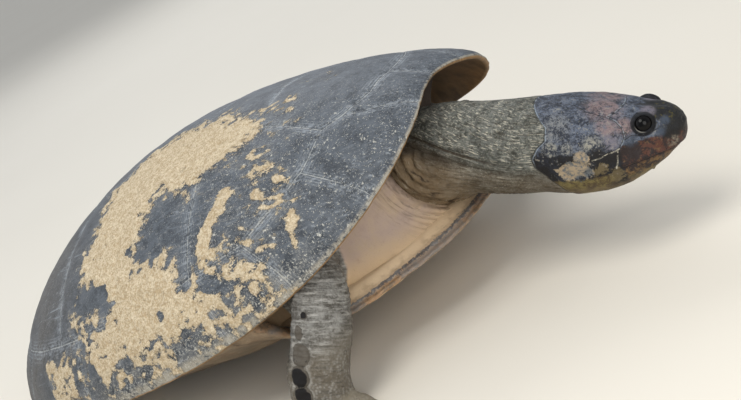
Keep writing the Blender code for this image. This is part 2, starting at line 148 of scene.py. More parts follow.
def grain(points, size):
    return np.array([noise.noise(Vector(p)) for p in points / size])


def ripple(distance, spacing):
    return np.sin(distance / spacing * 6.28)


def placed(name, data):
    thing = bpy.data.objects.new(name, data)
    scene.collection.objects.link(thing)
    return thing


def meshOf(bm, name):
    mesh = bpy.data.meshes.new(name)
    bm.to_mesh(mesh)
    bm.free()
    return mesh


def linkPiece(name, mesh, material, replaced):
    mesh.name = name
    piece = placed(name, mesh)
    mesh.materials.clear()
    mesh.materials.append(material)
    mesh.polygons.foreach_set("use_smooth", [True] * len(mesh.polygons))
    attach(piece, "root")
    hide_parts(*replaced)


def cadCopy(name, grow=0.0):
    # welded copy of a CAD node's mesh, grown a little along its normals
    bm = bmesh.new()
    bm.from_mesh(nodes[name].data)
    bmesh.ops.remove_doubles(bm, verts=bm.verts, dist=0.00003)
    bm.normal_update()
    moves = [(v, v.normal * grow) for v in bm.verts]
    for v, move in moves:
        v.co += move
    return bm


def smoothSome(bm, verts, times):
    for _ in range(times):
        bmesh.ops.smooth_vert(bm, verts=verts, factor=0.5, use_axis_x=True, use_axis_y=True, use_axis_z=True)


def modified(mesh, kind, settings, free=None):
    # the mesh as one modifier leaves it; free lists the vertices that it may work on
    holder = placed("holder", mesh)
    if free is not None:
        holder.vertex_groups.new(name="free").add(free, 1.0, "REPLACE")
    modifier = holder.modifiers.new("change", kind)
    for key, value in settings.items():
        setattr(modifier, key, value)
    graph = bpy.context.evaluated_depsgraph_get()
    result = bpy.data.meshes.new_from_object(holder.evaluated_get(graph))
    bpy.data.objects.remove(holder, do_unlink=True)
    return result


def remeshed(sources, voxel):
    # one closed skin round several closed bodies
    bm = bmesh.new()
    for source in sources:
        part = meshOf(source, "part")
        bm.from_mesh(part)
        bpy.data.meshes.remove(part)
    return modified(meshOf(bm, "joined"), "REMESH", {"mode": "VOXEL", "voxel_size": voxel})


def trianglesIn(mesh):
    return sum(len(face.vertices) - 2 for face in mesh.polygons)


# shader maths

class Wire:
    # an output socket that takes part in sums
    def __init__(self, tree, socket=None):
        self.tree = tree
        self.socket = socket

    def node(self, kind, settings=None, sockets=None, out=0):
        made = self.tree.nodes.new(kind)
        for key, value in (settings or {}).items():
            setattr(made, key, value)
        for key, value in (sockets or {}).items():
            if isinstance(value, Wire):
                self.tree.links.new(value.socket, made.inputs[key])
            else:
                made.inputs[key].default_value = value
        return Wire(self.tree, made.outputs[out])

    def math(self, operation, *others):
        return self.node("ShaderNodeMath", {"operation": operation}, dict(enumerate((self, *others))))

    def __add__(self, other):
        return self.math("ADD", other)

    def __sub__(self, other):
        return self.math("SUBTRACT", other)

    def __rsub__(self, other):
        return self.node("ShaderNodeMath", {"operation": "SUBTRACT"}, {0: other, 1: self})

    def __mul__(self, other):
        return self.math("MULTIPLY", other)

    def __truediv__(self, other):
        return self.math("DIVIDE", other)

    def __pow__(self, other):
        return self.math("POWER", other)

    def __abs__(self):
        return self.math("ABSOLUTE")

    __radd__ = __add__
    __rmul__ = __mul__

    def top(self, other):
        return self.math("MAXIMUM", other)

    def low(self, other):
        return self.math("MINIMUM", other)

    def rise(self, start, end):
        # 0 before start, 1 after end, smooth between; start may be the larger
        return self.node("ShaderNodeMapRange", {"interpolation_type": "SMOOTHSTEP"},
                         {"Value": self, "From Min": start, "From Max": end})

    def line(self, width):
        # 1 along the zero of a signed distance, fading out at width
        return abs(self).rise(width, width * 0.35)

    def wave(self, spacing):
        # distance in metres from the nearest whole number of a running count
        return ((self + 0.5).math("FRACT") - 0.5) * spacing

    def paint(self, under, over):
        # self is the mask between two colours
        sides = {0: self}
        for key, value in ((6, under), (7, over)):
            sides[key] = value if isinstance(value, Wire) else (*value, 1.0)
        return self.node("ShaderNodeMix", {"data_type": "RGBA"}, sides, 2)

    def field(self, name):
        return self.node("ShaderNodeAttribute", {"attribute_name": name}, None, 2)

    def spot(self, place=(0, 0, 0), turn=(0, 0, 0), scale=(1, 1, 1), kind="TEXTURE"):
        source = self.node("ShaderNodeTexCoord", None, None, 3) if self.socket is None else self
        return self.node("ShaderNodeMapping", {"vector_type": kind},
                         {"Vector": source, "Location": place, "Rotation": turn, "Scale": scale})

    def join(self, x, y, z):
        return self.node("ShaderNodeCombineXYZ", None, {0: x, 1: y, 2: z})

    def split(self):
        parts = self.tree.nodes.new("ShaderNodeSeparateXYZ")
        self.tree.links.new(self.socket, parts.inputs[0])
        return [Wire(self.tree, parts.outputs[k]) for k in range(3)]

    def speckle(self, size, detail=2.0, rough=0.5, bend=0.0):
        return self.node("ShaderNodeTexNoise", None,
                         {"Vector": self, "Scale": 1.0 / size, "Detail": detail,
                          "Roughness": rough, "Distortion": bend})

    def cells(self, size):
        return self.node("ShaderNodeTexVoronoi", None, {"Vector": self, "Scale": 1.0 / size})

    def dot(self, direction):
        return self.node("ShaderNodeVectorMath", {"operation": "DOT_PRODUCT"},
                         {0: self, 1: direction}, 1)

    def away(self, point):
        return self.node("ShaderNodeVectorMath", {"operation": "DISTANCE"}, {0: self, 1: point}, 1)

    def minus(self, point):
        return self.node("ShaderNodeVectorMath", {"operation": "SUBTRACT"}, {0: self, 1: point})

    def bump(self):
        # self is a height in metres
        return self.node("ShaderNodeBump", None, {"Height": self, "Strength": 1.0, "Distance": 1.0})


def newMaterial(name, **constants):
    material = bpy.data.materials.new(name)
    material.use_nodes = True
    tree = material.node_tree
    shader = tree.nodes["Principled BSDF"]
    for key, value in constants.items():
        shader.inputs[key.replace("_", " ")].default_value = value
    return material, Wire(tree), shader


def feed(shader, **wires):
    for key, wire in wires.items():
        wire.tree.links.new(wire.socket, shader.inputs[key.replace("_", " ")])


# shell outline and vault

shellShape = {
    "length": 0.66, "frontHalf": 0.500, "rearHalf": 0.538, "halfWidth": 0.374,
    "planPower": 2.476, "rearFlare": 0.273, "frontTaper": 0.038, "frontDip": 0.020,
    "rimFront": 0.1275, "rimSide": -0.0377, "rimRear": 0.0111,
    "archFront": 0.877, "archRear": 0.904, "crown": 0.2367, "crownX": -0.044,
    "slopeFront": 0.7636, "slopeSide": 0.5693, "slopeRear": 0.660,
    "thick": 0.0070, "segments": 280,
    # rings of the lip as inset and drop, then those of the hollow side as shares of the way out
    "lip": ((0.0006, 0.0012), (0.0022, 0.0024), (0.0045, 0.0024), (0.0066, 0.0008)),
    "hollow": (0.985, 0.955, 0.93, 0.90, 0.80, 0.62, 0.40, 0.18),
}


def rimAt(turn, inset=0.0):
    sh = shellShape
    c, s = np.cos(turn), np.sin(turn)
    a = np.abs(np.arctan2(s, c))
    power = 2.0 / sh["planPower"]
    x = np.where(c > 0, sh["frontHalf"], sh["rearHalf"]) * np.sign(c) * np.abs(c) ** power
    y = sh["halfWidth"] * np.sign(s) * np.abs(s) ** power
    y = y * (1 - sh["rearFlare"] * x - sh["frontTaper"] * 4 * np.maximum(x, 0) ** 2)
    x = x - sh["frontDip"] * bell(a, 0, 0.16)
    z = sh["rimSide"] + (sh["rimFront"] - sh["rimSide"]) * np.exp(-(a / sh["archFront"]) ** 1.45)
    z = z + (sh["rimRear"] - sh["rimSide"]) * bell(a, math.pi, sh["archRear"])
    plan = np.stack([x, y], -1) * sh["length"]
    plan = plan * (1 - inset / np.linalg.norm(plan, axis=-1, keepdims=True))
    return np.concatenate([plan, z[:, None] * sh["length"]], -1)


turnTable = np.linspace(-math.pi, math.pi, 4001)
rimTable = rimAt(turnTable)
crownX = shellShape["crownX"] * shellShape["length"]
bearingTable = np.unwrap(np.arctan2(rimTable[:, 1], rimTable[:, 0] - crownX))


def bearingOf(points):
    return np.arctan2(points[..., 1], points[..., 0] - crownX)


def vaultAt(reach, bearing, inset=0.0, drop=0.0):
    # point of the vault at a share of the way from crown to rim, along a compass bearing
    sh = shellShape
    turn = np.interp(bearing, bearingTable, turnTable)
    edge = rimAt(turn, inset)
    centre = np.array([crownX, 0.0, 0.0])
    p = centre + (edge - centre) * reach[:, None]
    c = np.cos(turn)
    front, rear = np.clip(c, 0, 1) ** 2, np.clip(-c, 0, 1) ** 2
    power = sh["slopeFront"] * front + sh["slopeRear"] * rear + sh["slopeSide"] * (1 - front - rear)
    f = np.maximum(1 - reach * reach, 0.0) ** power
    p[:, 2] = edge[:, 2] * (1 - f) + (sh["crown"] * sh["length"] - inset) * f - drop
    return p


def reachOf(points):
    bearing = bearingOf(points)
    edge = rimAt(np.interp(bearing, bearingTable, turnTable))
    span = np.linalg.norm(edge[:, :2] - [crownX, 0.0], axis=1)
    return np.linalg.norm(points[:, :2] - [crownX, 0.0], axis=1) / span, bearing


# scutes of the carapace, in shell metres

scuteLayout = {
    "vertebralX": (-0.280, -0.175, -0.070, 0.045, 0.147, 0.252),
    "costalX": (-0.232, -0.124, -0.015, 0.093, 0.201),
    "middleX": (-0.330, -0.175, -0.124, -0.070, -0.015, 0.045, 0.093, 0.147, 0.235, 0.300),
    "middleHalf": (0.125, 0.046, 0.066, 0.053, 0.074, 0.057, 0.080, 0.060, 0.080, 0.090),
    "marginBearing": (0, 7, 13.4, 17.4, 25.8, 43, 90, 180),
    "marginReach": (0.885, 0.860, 0.815, 0.790, 0.835, 0.885, 0.887, 0.870),
    "rimSeams": (0, 7.3, 22.3, 39.9, 55.5, 71.9, 87.9, 103.6, 118.5, 132.8, 145.7, 158.6, 180),
    "slantBearing": (0, 13, 26, 43, 62, 90, 140, 180),
    "slant": (0, 6.1, 3.5, 3.4, 2.0, 0.0, -2.0, 0.0),
    "spacing": {"vertebral": 0.105, "costal": 0.108, "marginal": 0.075},
    "grooveDepth": 0.0007, "grooveWidth": 0.0024, "pillow": 0.0010, "pillowWidth": 0.016,
}

# sand caked on the right side: (x, y) to (x, y), half width in shell metres, and how solid it lies
sandStrokes = (
    ((0.085, -0.070), (0.110, -0.073), 0.038, 1.0),
    ((0.118, -0.066), (0.138, -0.068), 0.028, 0.38),
    ((0.010, -0.068), (0.075, -0.074), 0.056, 1.0),
    ((-0.030, -0.082), (0.000, -0.098), 0.050, 1.0),
    ((-0.028, -0.132), (-0.014, -0.146), 0.045, 1.0),
    ((-0.048, -0.166), (-0.014, -0.176), 0.033, 1.0),
    ((0.000, -0.192), (0.008, -0.222), 0.023, 1.0),
    ((0.022, -0.214), (0.062, -0.208), 0.030, 1.0),
    ((0.062, -0.218), (0.102, -0.219), 0.017, 0.85),
    ((0.100, -0.212), (0.124, -0.211), 0.013, 0.50),
    ((0.140, -0.138), (0.132, -0.153), 0.0080, 0.95),
    ((0.127, -0.159), (0.113, -0.186), 0.0078, 0.85),
    ((0.2186, -0.156), (0.2168, -0.167), 0.0052, 1.0),
    ((0.126, -0.191), (0.150, -0.196), 0.0135, 0.55),
    ((0.156, -0.197), (0.170, -0.198), 0.0110, 0.50),
    ((0.137, -0.216), (0.176, -0.206), 0.0130, 0.55),
    ((0.160, -0.097), (0.166, -0.102), 0.0055, 0.55),
    ((0.186, -0.113), (0.172, -0.121), 0.0082, 0.65),
    ((0.198, -0.119), (0.194, -0.127), 0.0072, 0.65),
    ((0.178, -0.136), (0.187, -0.144), 0.0070, 0.70),
    ((0.190, -0.146), (0.203, -0.141), 0.0070, 0.60),
    ((0.160, -0.098), (0.200, -0.140), 0.036, -0.22),
    ((0.140, -0.150), (0.176, -0.168), 0.034, -0.26),
    ((0.120, -0.200), (0.180, -0.200), 0.036, -0.10),
    ((-0.078, -0.206), (-0.050, -0.226), 0.022, 0.16),
    ((-0.046, -0.214), (-0.034, -0.228), 0.018, 0.22),
    ((-0.016, -0.229), (-0.048, -0.238), 0.014, 0.75),
    ((-0.070, -0.230), (-0.090, -0.240), 0.016, 0.10),
    ((-0.112, -0.241), (-0.150, -0.240), 0.013, 0.58),
    ((0.138, -0.040), (0.186, -0.027), 0.013, 0.05),
    ((0.130, 0.018), (0.212, 0.005), 0.014, -0.30),
    ((0.150, -0.060), (0.190, -0.060), 0.034, -0.22),
)
sandHoles = (
    ((0.055, -0.221), (0.058, -0.220), 0.0036), ((0.050, -0.185), (0.050, -0.187), 0.004),
    ((-0.072, -0.200), (-0.028, -0.199), 0.009), ((0.116, -0.203), (0.128, -0.203), 0.006),
    ((0.066, -0.238), (0.104, -0.232), 0.013, 0.48), ((0.140, -0.206), (0.172, -0.214), 0.012, 0.35),
)


def strokeField(points, strokes):
    # how solid the sand lies: a stroke's own value on its line, less than nothing outside
    best = np.full(len(points), -9.0)
    for start, end, half, *solid in strokes:
        a, b = np.array(start), np.array(end)
        t = np.clip(((points[:, :2] - a) @ (b - a)) / ((b - a) @ (b - a)), 0, 1)
        gap = np.linalg.norm(points[:, :2] - (a + t[:, None] * (b - a)), axis=1)
        best = np.maximum(best, np.minimum((1 - gap / half) * 2.2, 1) + (solid or [1.0])[0] - 1)
    return best


def scuteFields(p):
    lay = scuteLayout
    reach, bearing = reachOf(p)
    drift = np.stack([wobble(p, 0.05, 3), wobble(p, 0.05, 4)], -1) * 0.0014
    x, half = p[:, 0] + drift[:, 0], np.abs(p[:, 1]) + drift[:, 1]
    aside = np.degrees(np.abs(bearing))
    margin = np.interp(aside, lay["marginBearing"], lay["marginReach"])
    slant = np.interp(aside, lay["slantBearing"], lay["slant"])
    turned = aside - slant * np.clip((1 - reach) / (1 - margin), 0, 1.5)
    leaned = x - 0.05 * np.maximum(half - 0.08, 0)
    fields = {
        "middleEdge": (half - np.interp(x, lay["middleX"], lay["middleHalf"])) * 0.9,
        "marginEdge": (reach - margin) * 0.28 + drift[:, 0] * 0.6,
        # the end scutes run on to the shell's edge, so the count stops half way into them
        "vertebral": np.clip(np.interp(x, lay["vertebralX"], range(6)), 0.5, 4.5),
        "costal": np.clip(np.interp(leaned, lay["costalX"], range(5)), 0.5, 3.5),
        "marginal": np.interp(turned, lay["rimSeams"], range(13)),
    }

    def nearest(name, spacing):
        count = fields[name]
        return np.abs(count - np.round(count)) * spacing

    gaps = lay["spacing"]
    inMargin, inMiddle = fields["marginEdge"] > 0, fields["middleEdge"] < 0
    seam = np.abs(fields["marginEdge"])
    seam = np.where(~inMargin, np.minimum(seam, np.abs(fields["middleEdge"])), seam)
    seam = np.where(inMargin, np.minimum(seam, nearest("marginal", gaps["marginal"])), seam)
    middle = np.minimum(seam, nearest("vertebral", gaps["vertebral"]))
    seam = np.where(~inMargin & inMiddle, middle, seam)
    flank = np.minimum(seam, nearest("costal", gaps["costal"]))
    fields["seamGap"] = np.where(~inMargin & ~inMiddle, flank, seam)
    fields["reach"] = reach
    return fields


def buildCarapace(material):
    sh, lay = shellShape, scuteLayout
    bm = bmesh.new()
    bmesh.ops.create_grid(bm, x_segments=sh["segments"], y_segments=sh["segments"], size=1.0)
    flat = spotsOf(bm)
    u, v = flat[:, 0] / flat[:, 0].max(), flat[:, 1] / flat[:, 1].max()
    wide = np.abs(u) >= np.abs(v)
    safeU, safeV = np.where(u == 0, 1e-9, u), np.where(v == 0, 1e-9, v)
    bearing = np.where(wide, math.pi / 4 * v / safeU + np.where(u < 0, math.pi, 0),
                       np.sign(v) * math.pi / 2 - math.pi / 4 * u / safeV)
    bearing = np.arctan2(np.sin(bearing), np.cos(bearing))
    reach = np.sin(np.maximum(np.abs(u), np.abs(v)) * math.pi / 2)
    vault = vaultAt(reach, bearing)
    for vert, point in zip(bm.verts, vault):
        vert.co = point

    # lip, then the hollow side, ring by ring to a pole under the crown
    def ring(edges, place):
        made = bmesh.ops.extrude_edge_only(bm, edges=edges)["geom"]
        verts = [g for g in made if isinstance(g, bmesh.types.BMVert)]
        spots = np.array([vert.co[:] for vert in verts])
        for vert, point in zip(verts, place(bearingOf(spots))):
            vert.co = point
        return [g for g in made if isinstance(g, bmesh.types.BMEdge) and g.is_boundary]

    def lip(inset, drop):
        def place(spots):
            p = rimAt(np.interp(spots, bearingTable, turnTable), inset)
            p[:, 2] -= drop
            return p
        return place

    edges = [e for e in bm.edges if e.is_boundary]
    for inset, drop in sh["lip"]:
        edges = ring(edges, lip(inset, drop))
    for share in sh["hollow"]:
        edges = ring(edges, lambda spots: vaultAt(np.full(len(spots), share), spots, sh["thick"]))
    pole = bmesh.ops.extrude_edge_only(bm, edges=edges)["geom"]
    pole = [g for g in pole if isinstance(g, bmesh.types.BMVert)]
    crown = (crownX, 0.0, sh["crown"] * sh["length"] - sh["thick"])
    bmesh.ops.pointmerge(bm, verts=pole, merge_co=crown)
    bmesh.ops.recalc_face_normals(bm, faces=bm.faces)
    mesh = meshOf(bm, "carapaceShell")

    p, normals = readPoints(mesh), readNormals(mesh)
    outer = np.zeros(len(p))
    outer[:len(vault)] = 1.0
    fields = scuteFields(p)
    gap, reach = fields["seamGap"], fields["reach"]
    drift = np.stack([wobble(p, 0.05, 11), wobble(p, 0.05, 12), 0 * reach], -1) * 0.0045
    sand = strokeField(p + drift, sandStrokes) - np.maximum(strokeField(p, sandHoles), 0) * 1.6
    crumbs = grain(p * [0.8, 1.25, 1.0], 0.0062)
    sand += (0.75 * grain(p, 0.013) + 1.05 * crumbs) * ease(sand, 1.6, 0.5) - 0.16
    height = lay["pillow"] * (1 - bell(gap, 0, lay["pillowWidth"]))
    height -= lay["grooveDepth"] * bell(gap, 0, lay["grooveWidth"])
    height += 0.0007 * wobble(p, 0.11, 5) + 0.00025 * wobble(p, 0.03, 6)
    # faint growth ridges that follow each scute's own edge
    height += 0.00016 * ripple(gap, 0.0042) * np.exp(-gap / 0.022)
    crust = ease(sand, 0.02, 0.40)
    height += crust * (0.0011 + 0.0011 * grain(p, 0.0058) + 0.0006 * wobble(p, 0.03, 9))
    scuff = grain(p * [0.35, 1.0, 1.0], 0.010)
    height -= 0.00035 * ease(scuff, 0.35, 0.65)
    height *= outer * (1 - 0.75 * ease(reach, 0.985, 1.0))
    # the rim is nicked where the marginals meet
    count = fields["marginal"]
    notch = bell((count - np.round(count)) * lay["spacing"]["marginal"], 0, 0.0035)
    inward = unit(-p * [1, 1, 0])
    rim = ease(reach, 0.97, 1.0)
    worn = 0.0009 * wobble(p, 0.018, 21) + 0.0012 * wobble(p, 0.07, 22)
    p = p + normals * height[:, None] + inward * (rim * (0.0011 * notch + worn))[:, None]
    writePoints(mesh, toRow(p))
    for name in ("middleEdge", "marginEdge", "vertebral", "costal", "marginal", "seamGap", "reach"):
        addField(mesh, name, fields[name])
    addField(mesh, "sand", sand)
    addField(mesh, "hollow", 1 - outer)
    linkPiece("carapaceShell", mesh, material, ["carapace"])


shellLook = {
    "slate": (0.084, 0.097, 0.114), "deep": (0.030, 0.036, 0.045), "brown": (0.110, 0.096, 0.078),
    "pale": (0.290, 0.320, 0.350), "seam": (0.330, 0.345, 0.345), "rim": (0.360, 0.325, 0.255),
    "sand": (0.740, 0.640, 0.470), "wetSand": (0.430, 0.328, 0.200), "grit": (0.600, 0.590, 0.530),
    "under": (0.340, 0.200, 0.085), "underDeep": (0.160, 0.095, 0.040), "seamWidth": 0.00105,
}


def shellPlace(wire):
    return wire.spot(shellPose["seat"] + (shellPose["lift"],), (0, -shellPose["pitch"], 0))


def shellMaterial():
    look, gaps = shellLook, scuteLayout["spacing"]
    material, wire, shader = newMaterial("slateShell", Specular_IOR_Level=0.26)
    place = shellPlace(wire)
    x, y, z = place.split()
    folded = wire.join(x, abs(y), z)
    broad, mottle = place.speckle(0.10, 3), place.speckle(0.020, 6, 0.70)
    fine, dust = place.speckle(0.0030, 4, 0.7), place.speckle(0.0013, 2, 0.7)
    scratch = folded.spot(turn=(0, 0, -0.33), scale=(9, 1, 1)).speckle(0.0024, 5, 0.68)
    scuff = folded.spot(turn=(0, 0, 0.12), scale=(22, 1, 1)).speckle(0.0030, 3, 0.5, 0.4)

    colour = (mottle * 0.6 + fine * 0.4).rise(0.36, 0.58).paint(look["deep"], look["slate"])
    rear = x.rise(0.00, -0.22) * broad.rise(0.25, 0.55)
    colour = (rear * 0.62).paint(colour, look["brown"])
    worn = broad.rise(0.40, 0.62)
    colour = (scratch.rise(0.55, 0.72) * (0.18 + worn * 0.34)).paint(colour, look["pale"])
    colour = (scuff.rise(0.62, 0.72) * (0.20 + worn * 0.35)).paint(colour, look["pale"])
    colour = (scratch.rise(0.46, 0.34) * 0.55).paint(colour, look["deep"])

    # growth rings beside the seams, then the seams between scutes
    gap = wire.field("seamGap")
    rings = (gap / 0.00040 + mottle * 5.0).math("SINE") * gap.rise(0.013, 0.003) * mottle.rise(0.38, 0.6)
    colour = (rings.rise(0.0, 1.0) * 0.42).paint(colour, look["pale"])
    beside = gap.rise(0.0085, 0.0010) * (scratch * 0.5 + fine * 0.5).rise(0.46, 0.60)
    colour = (beside * 0.48).paint(colour, look["pale"])
    width = look["seamWidth"] * (0.25 + mottle.rise(0.35, 0.7) * 0.95)
    marginEdge, middleEdge = wire.field("marginEdge"), wire.field("middleEdge")
    inMargin, inMiddle = marginEdge.rise(-0.0004, 0.0004), middleEdge.rise(0.0004, -0.0004)
    inField = 1 - inMargin

    def seamSet(wide):
        seam = marginEdge.line(wide).top(middleEdge.line(wide) * inField)
        seam = seam.top(wire.field("vertebral").wave(gaps["vertebral"]).line(wide) * inMiddle * inField)
        seam = seam.top(wire.field("costal").wave(gaps["costal"]).line(wide) * (1 - inMiddle) * inField)
        return seam.top(wire.field("marginal").wave(gaps["marginal"]).line(wide) * inMargin)

    seam = seamSet(width)
    colour = (seamSet(width * 2.0) * 0.35).paint(colour, look["deep"])
    colour = (seam * fine.rise(0.34, 0.52) * mottle.rise(0.24, 0.42) * 0.88).paint(colour, look["seam"])

    # worn rim, and the hollow side under it
    reach = wire.field("reach")
    rim = reach.rise(0.9955, 0.9990) * (mottle * 0.5 + fine * 0.5).rise(0.40, 0.54)
    colour = (rim * 0.70).paint(colour, look["rim"])
    hollow = wire.field("hollow")
    inner = (mottle.rise(0.32, 0.66) * reach.rise(0.90, 0.985)).paint(look["underDeep"], look["under"])
    colour = (hollow.rise(0.3, 0.8) * 0.97).paint(colour, inner)

    # caked sand, a thin veil of it round about, and stray grains
    outer = 1 - hollow.rise(0.2, 0.6)
    sand = wire.field("sand")
    grains = place.cells(0.0021)
    lumps = place.speckle(0.0062, 3, 0.6)
    crust = (sand + (fine - 0.5) * 1.3 + (dust - 0.5) * 1.3 + (lumps - 0.5) * 0.9).rise(0.04, 0.16) * outer
    # the sand's tone varies with noise, and is darker between the grains as painted shade
    shade = (dust * 0.55 + fine * 0.35 + lumps * 0.45 - grains * 0.25).rise(0.40, 0.74)
    sandColour = shade.paint(look["wetSand"], look["sand"])
    rimBand = reach.rise(0.955, 0.995) * y.rise(-0.10, -0.19) * x.rise(-0.12, -0.02) * x.rise(0.27, 0.20)
    veil = sand.rise(-0.80, 0.10) * 0.60 + rimBand * 0.75
    front = x.rise(0.05, 0.16) * y.rise(0.02, -0.10)
    speck = dust.rise(0.625, 0.67) * (0.20 + veil * 0.65 + worn * 0.30 + front * 0.65).low(1.0)
    clump = place.speckle(0.0036, 3, 0.65).rise(0.620, 0.665) * (front * 0.75 + veil * 0.60).low(1.0)
    grit = fine.rise(0.50, 0.57) * dust.rise(0.46, 0.56) * veil.low(1.0)
    stray = speck.top(clump).top(grit * 0.85) * outer
    colour = (stray * 0.85).paint(colour, look["grit"])
    colour = (veil * mottle.rise(0.35, 0.65) * outer * 0.09).paint(colour, look["sand"])
    colour = crust.paint(colour, sandColour)

    height = fine * 0.00022 + scratch * 0.00030 + dust * 0.00010 + rings * 0.00004
    height = height + crust * (dust * 0.0009 + fine * 0.0011 + lumps * 0.0022 - grains * 0.0004 + 0.0002)
    height = height + stray * 0.0004 - seam * 0.00030
    rough = 0.47 + crust * 0.45 + stray * 0.25 + fine * 0.16 + rear * 0.02
    feed(shader, Base_Color=colour, Roughness=rough.low(0.97), Normal=height.bump())
    return material


# plastron

plateLook = {
    "cream": (0.780, 0.590, 0.380), "orange": (0.290, 0.165, 0.080), "dark": (0.050, 0.056, 0.066),
    # the stain colour on the next line is real staining on the margin and underside, and painted shade toward
    # the plastron's rear
    "stainAndShade": (0.135, 0.105, 0.072), "seam": (0.075, 0.058, 0.040), "grey": (0.190, 0.180, 0.170),
    "blue": (0.170, 0.182, 0.195),
    "voxel": 0.0027, "seamX": (-0.195, -0.085, 0.025, 0.120, 0.205), "seamLean": 0.16,
}
lobe = {"front": 0.2864, "half": 0.1729, "power": 2.4}       # outline of the plastron's front lobe


def lobeRatio(s):
    return ((np.abs(s[:, 0]) / lobe["front"]) ** lobe["power"]
            + (np.abs(s[:, 1]) / lobe["half"]) ** lobe["power"]) ** (1 / lobe["power"])


def buildPlastron(material):
    look = plateLook
    bm = bmesh.new()
    bm.from_mesh(remeshed([cadCopy("plastron", 0.0003)], look["voxel"]))
    smoothSome(bm, bm.verts, 3)
    mesh = meshOf(bm, "plastronPlate")
    p, normals = readPoints(mesh), readNormals(mesh)
    s = toShell(p)
    crossing = s[:, 0] + np.abs(s[:, 1]) * look["seamLean"]
    gap = np.min([np.abs(crossing - seam) for seam in look["seamX"]], axis=0)
    gap = np.minimum(gap, np.abs(s[:, 1] + 0.0012 * wobble(s, 0.05, 31)))
    under = ease(-normals[:, 2], 0.3, 0.8)
    height = under * (0.0006 * (1 - bell(gap, 0, 0.02)) - 0.0007 * bell(gap, 0, 0.0026))
    height += 0.0005 * wobble(s, 0.06, 32)
    edge = s[:, 0] > 0.1
    nick = 0.0012 * np.clip(wobble(s, 0.022, 33), 0, 1) * edge
    # the upper face rises to the skin in a soft ramp, and the margin beyond it is bevelled and uneven
    ratio, top = lobeRatio(s), ease(normals[:, 2], 0.2, 0.8) * (s[:, 0] > 0)
    height += top * 0.0080 * ease(ratio, 0.955, 0.895)
    uneven = 0.0005 * np.abs(grain(s, 0.006)) * ease(ratio, 0.93, 0.97)
    height -= top * (0.0032 * ease(ratio, 0.955, 1.0) + uneven)
    p = p + normals * (height - nick * (np.abs(normals[:, 2]) < 0.6))[:, None]
    outward = unit(s * [1 / lobe["front"] ** 2, 1 / lobe["half"] ** 2, 0])
    wide = 0.0095 * ease(s[:, 0], 0.250, 0.195) * ease(s[:, 0], 0.10, 0.15) * ease(ratio, 0.80, 0.95)
    p = p + outward * (wide * ease(np.abs(s[:, 1]), 0.05, 0.09))[:, None]
    p[:, 2] = np.maximum(p[:, 2], 0.0)
    writePoints(mesh, p)
    addField(mesh, "seamGap", gap)
    addField(mesh, "lobeRatio", np.where(s[:, 0] > 0, ratio, 0.5))
    linkPiece("plastronPlate", mesh, material, ["plastron"])


def plateMaterial():
    look = plateLook
    material, wire, shader = newMaterial("paleplate")
    place = shellPlace(wire)
    x, y = place.split()[:2]
    broad, mottle = place.speckle(0.06, 3), place.speckle(0.016, 5, 0.6)
    fine = place.speckle(0.003, 4, 0.6)
    streak = place.spot(scale=(0.2, 1, 1), kind="POINT").speckle(0.004, 4, 0.6)
    up = wire.node("ShaderNodeNewGeometry", None, None, 1).split()[2]
    top, under = up.rise(0.25, 0.7), up.rise(-0.25, -0.7)
    ratio, ragged = wire.field("lobeRatio"), fine - 0.5
    colour = mottle.rise(0.35, 0.65).paint(look["orange"], look["cream"])
    colour = (top * ratio.rise(0.975, 0.960)).paint(colour, look["cream"])
    colour = (top * ratio.rise(0.900, 0.935) * mottle.rise(0.42, 0.60) * 0.35).paint(colour, look["orange"])
    margin = (ratio + ragged * 0.018).rise(0.976, 0.986) * (1 - under)
    colour = (margin * (0.45 + mottle.rise(0.40, 0.58) * 0.50)).paint(colour, look["orange"])
    colour = (margin * place.speckle(0.006, 4, 0.7).rise(0.46, 0.58) * 0.75).paint(colour, look["stainAndShade"])
    colour = (margin * broad.rise(0.52, 0.62) * 0.6).paint(colour, look["grey"])
    line = (ratio + ragged * 0.040 - 0.971).line(0.0130) * top.top(0.4)
    line = line * (mottle * 0.5 + fine * 0.5).rise(0.36, 0.45)
    slaty = (mottle * 0.6 + fine * 0.4).rise(0.44, 0.58).paint(look["dark"], look["blue"])
    colour = (line * (1 - under) * 0.88).paint(colour, slaty)
    # painted shade: the plastron darkens toward its rear, in the shade of the carapace
    colour = (x.rise(0.150, 0.080) * (0.55 + mottle * 0.4)).low(0.85).paint(colour, look["stainAndShade"])
    pits = place.speckle(0.0045, 3, 0.7).rise(0.62, 0.68) * ratio.rise(0.93, 0.96) * (1 - under)
    colour = (pits * 0.8).paint(colour, look["dark"])
    colour = (under * broad.rise(0.45, 0.62) * 0.75).paint(colour, look["stainAndShade"])
    colour = (under * streak.rise(0.55, 0.72) * 0.4).paint(colour, look["stainAndShade"])
    crossing = x + abs(y) * look["seamLean"]
    seam = y.line(0.0014)
    for spot in look["seamX"]:
        seam = seam.top((crossing - spot).line(0.0014))
    colour = (seam * under * 0.7).paint(colour, look["seam"])
    height = fine * 0.0003 + streak * 0.0002 - seam * under * 0.0004
    feed(shader, Base_Color=colour, Roughness=0.48 + fine * 0.25, Normal=height.bump())
    return material


# head frame and shape, in head metres: ahead, left, up

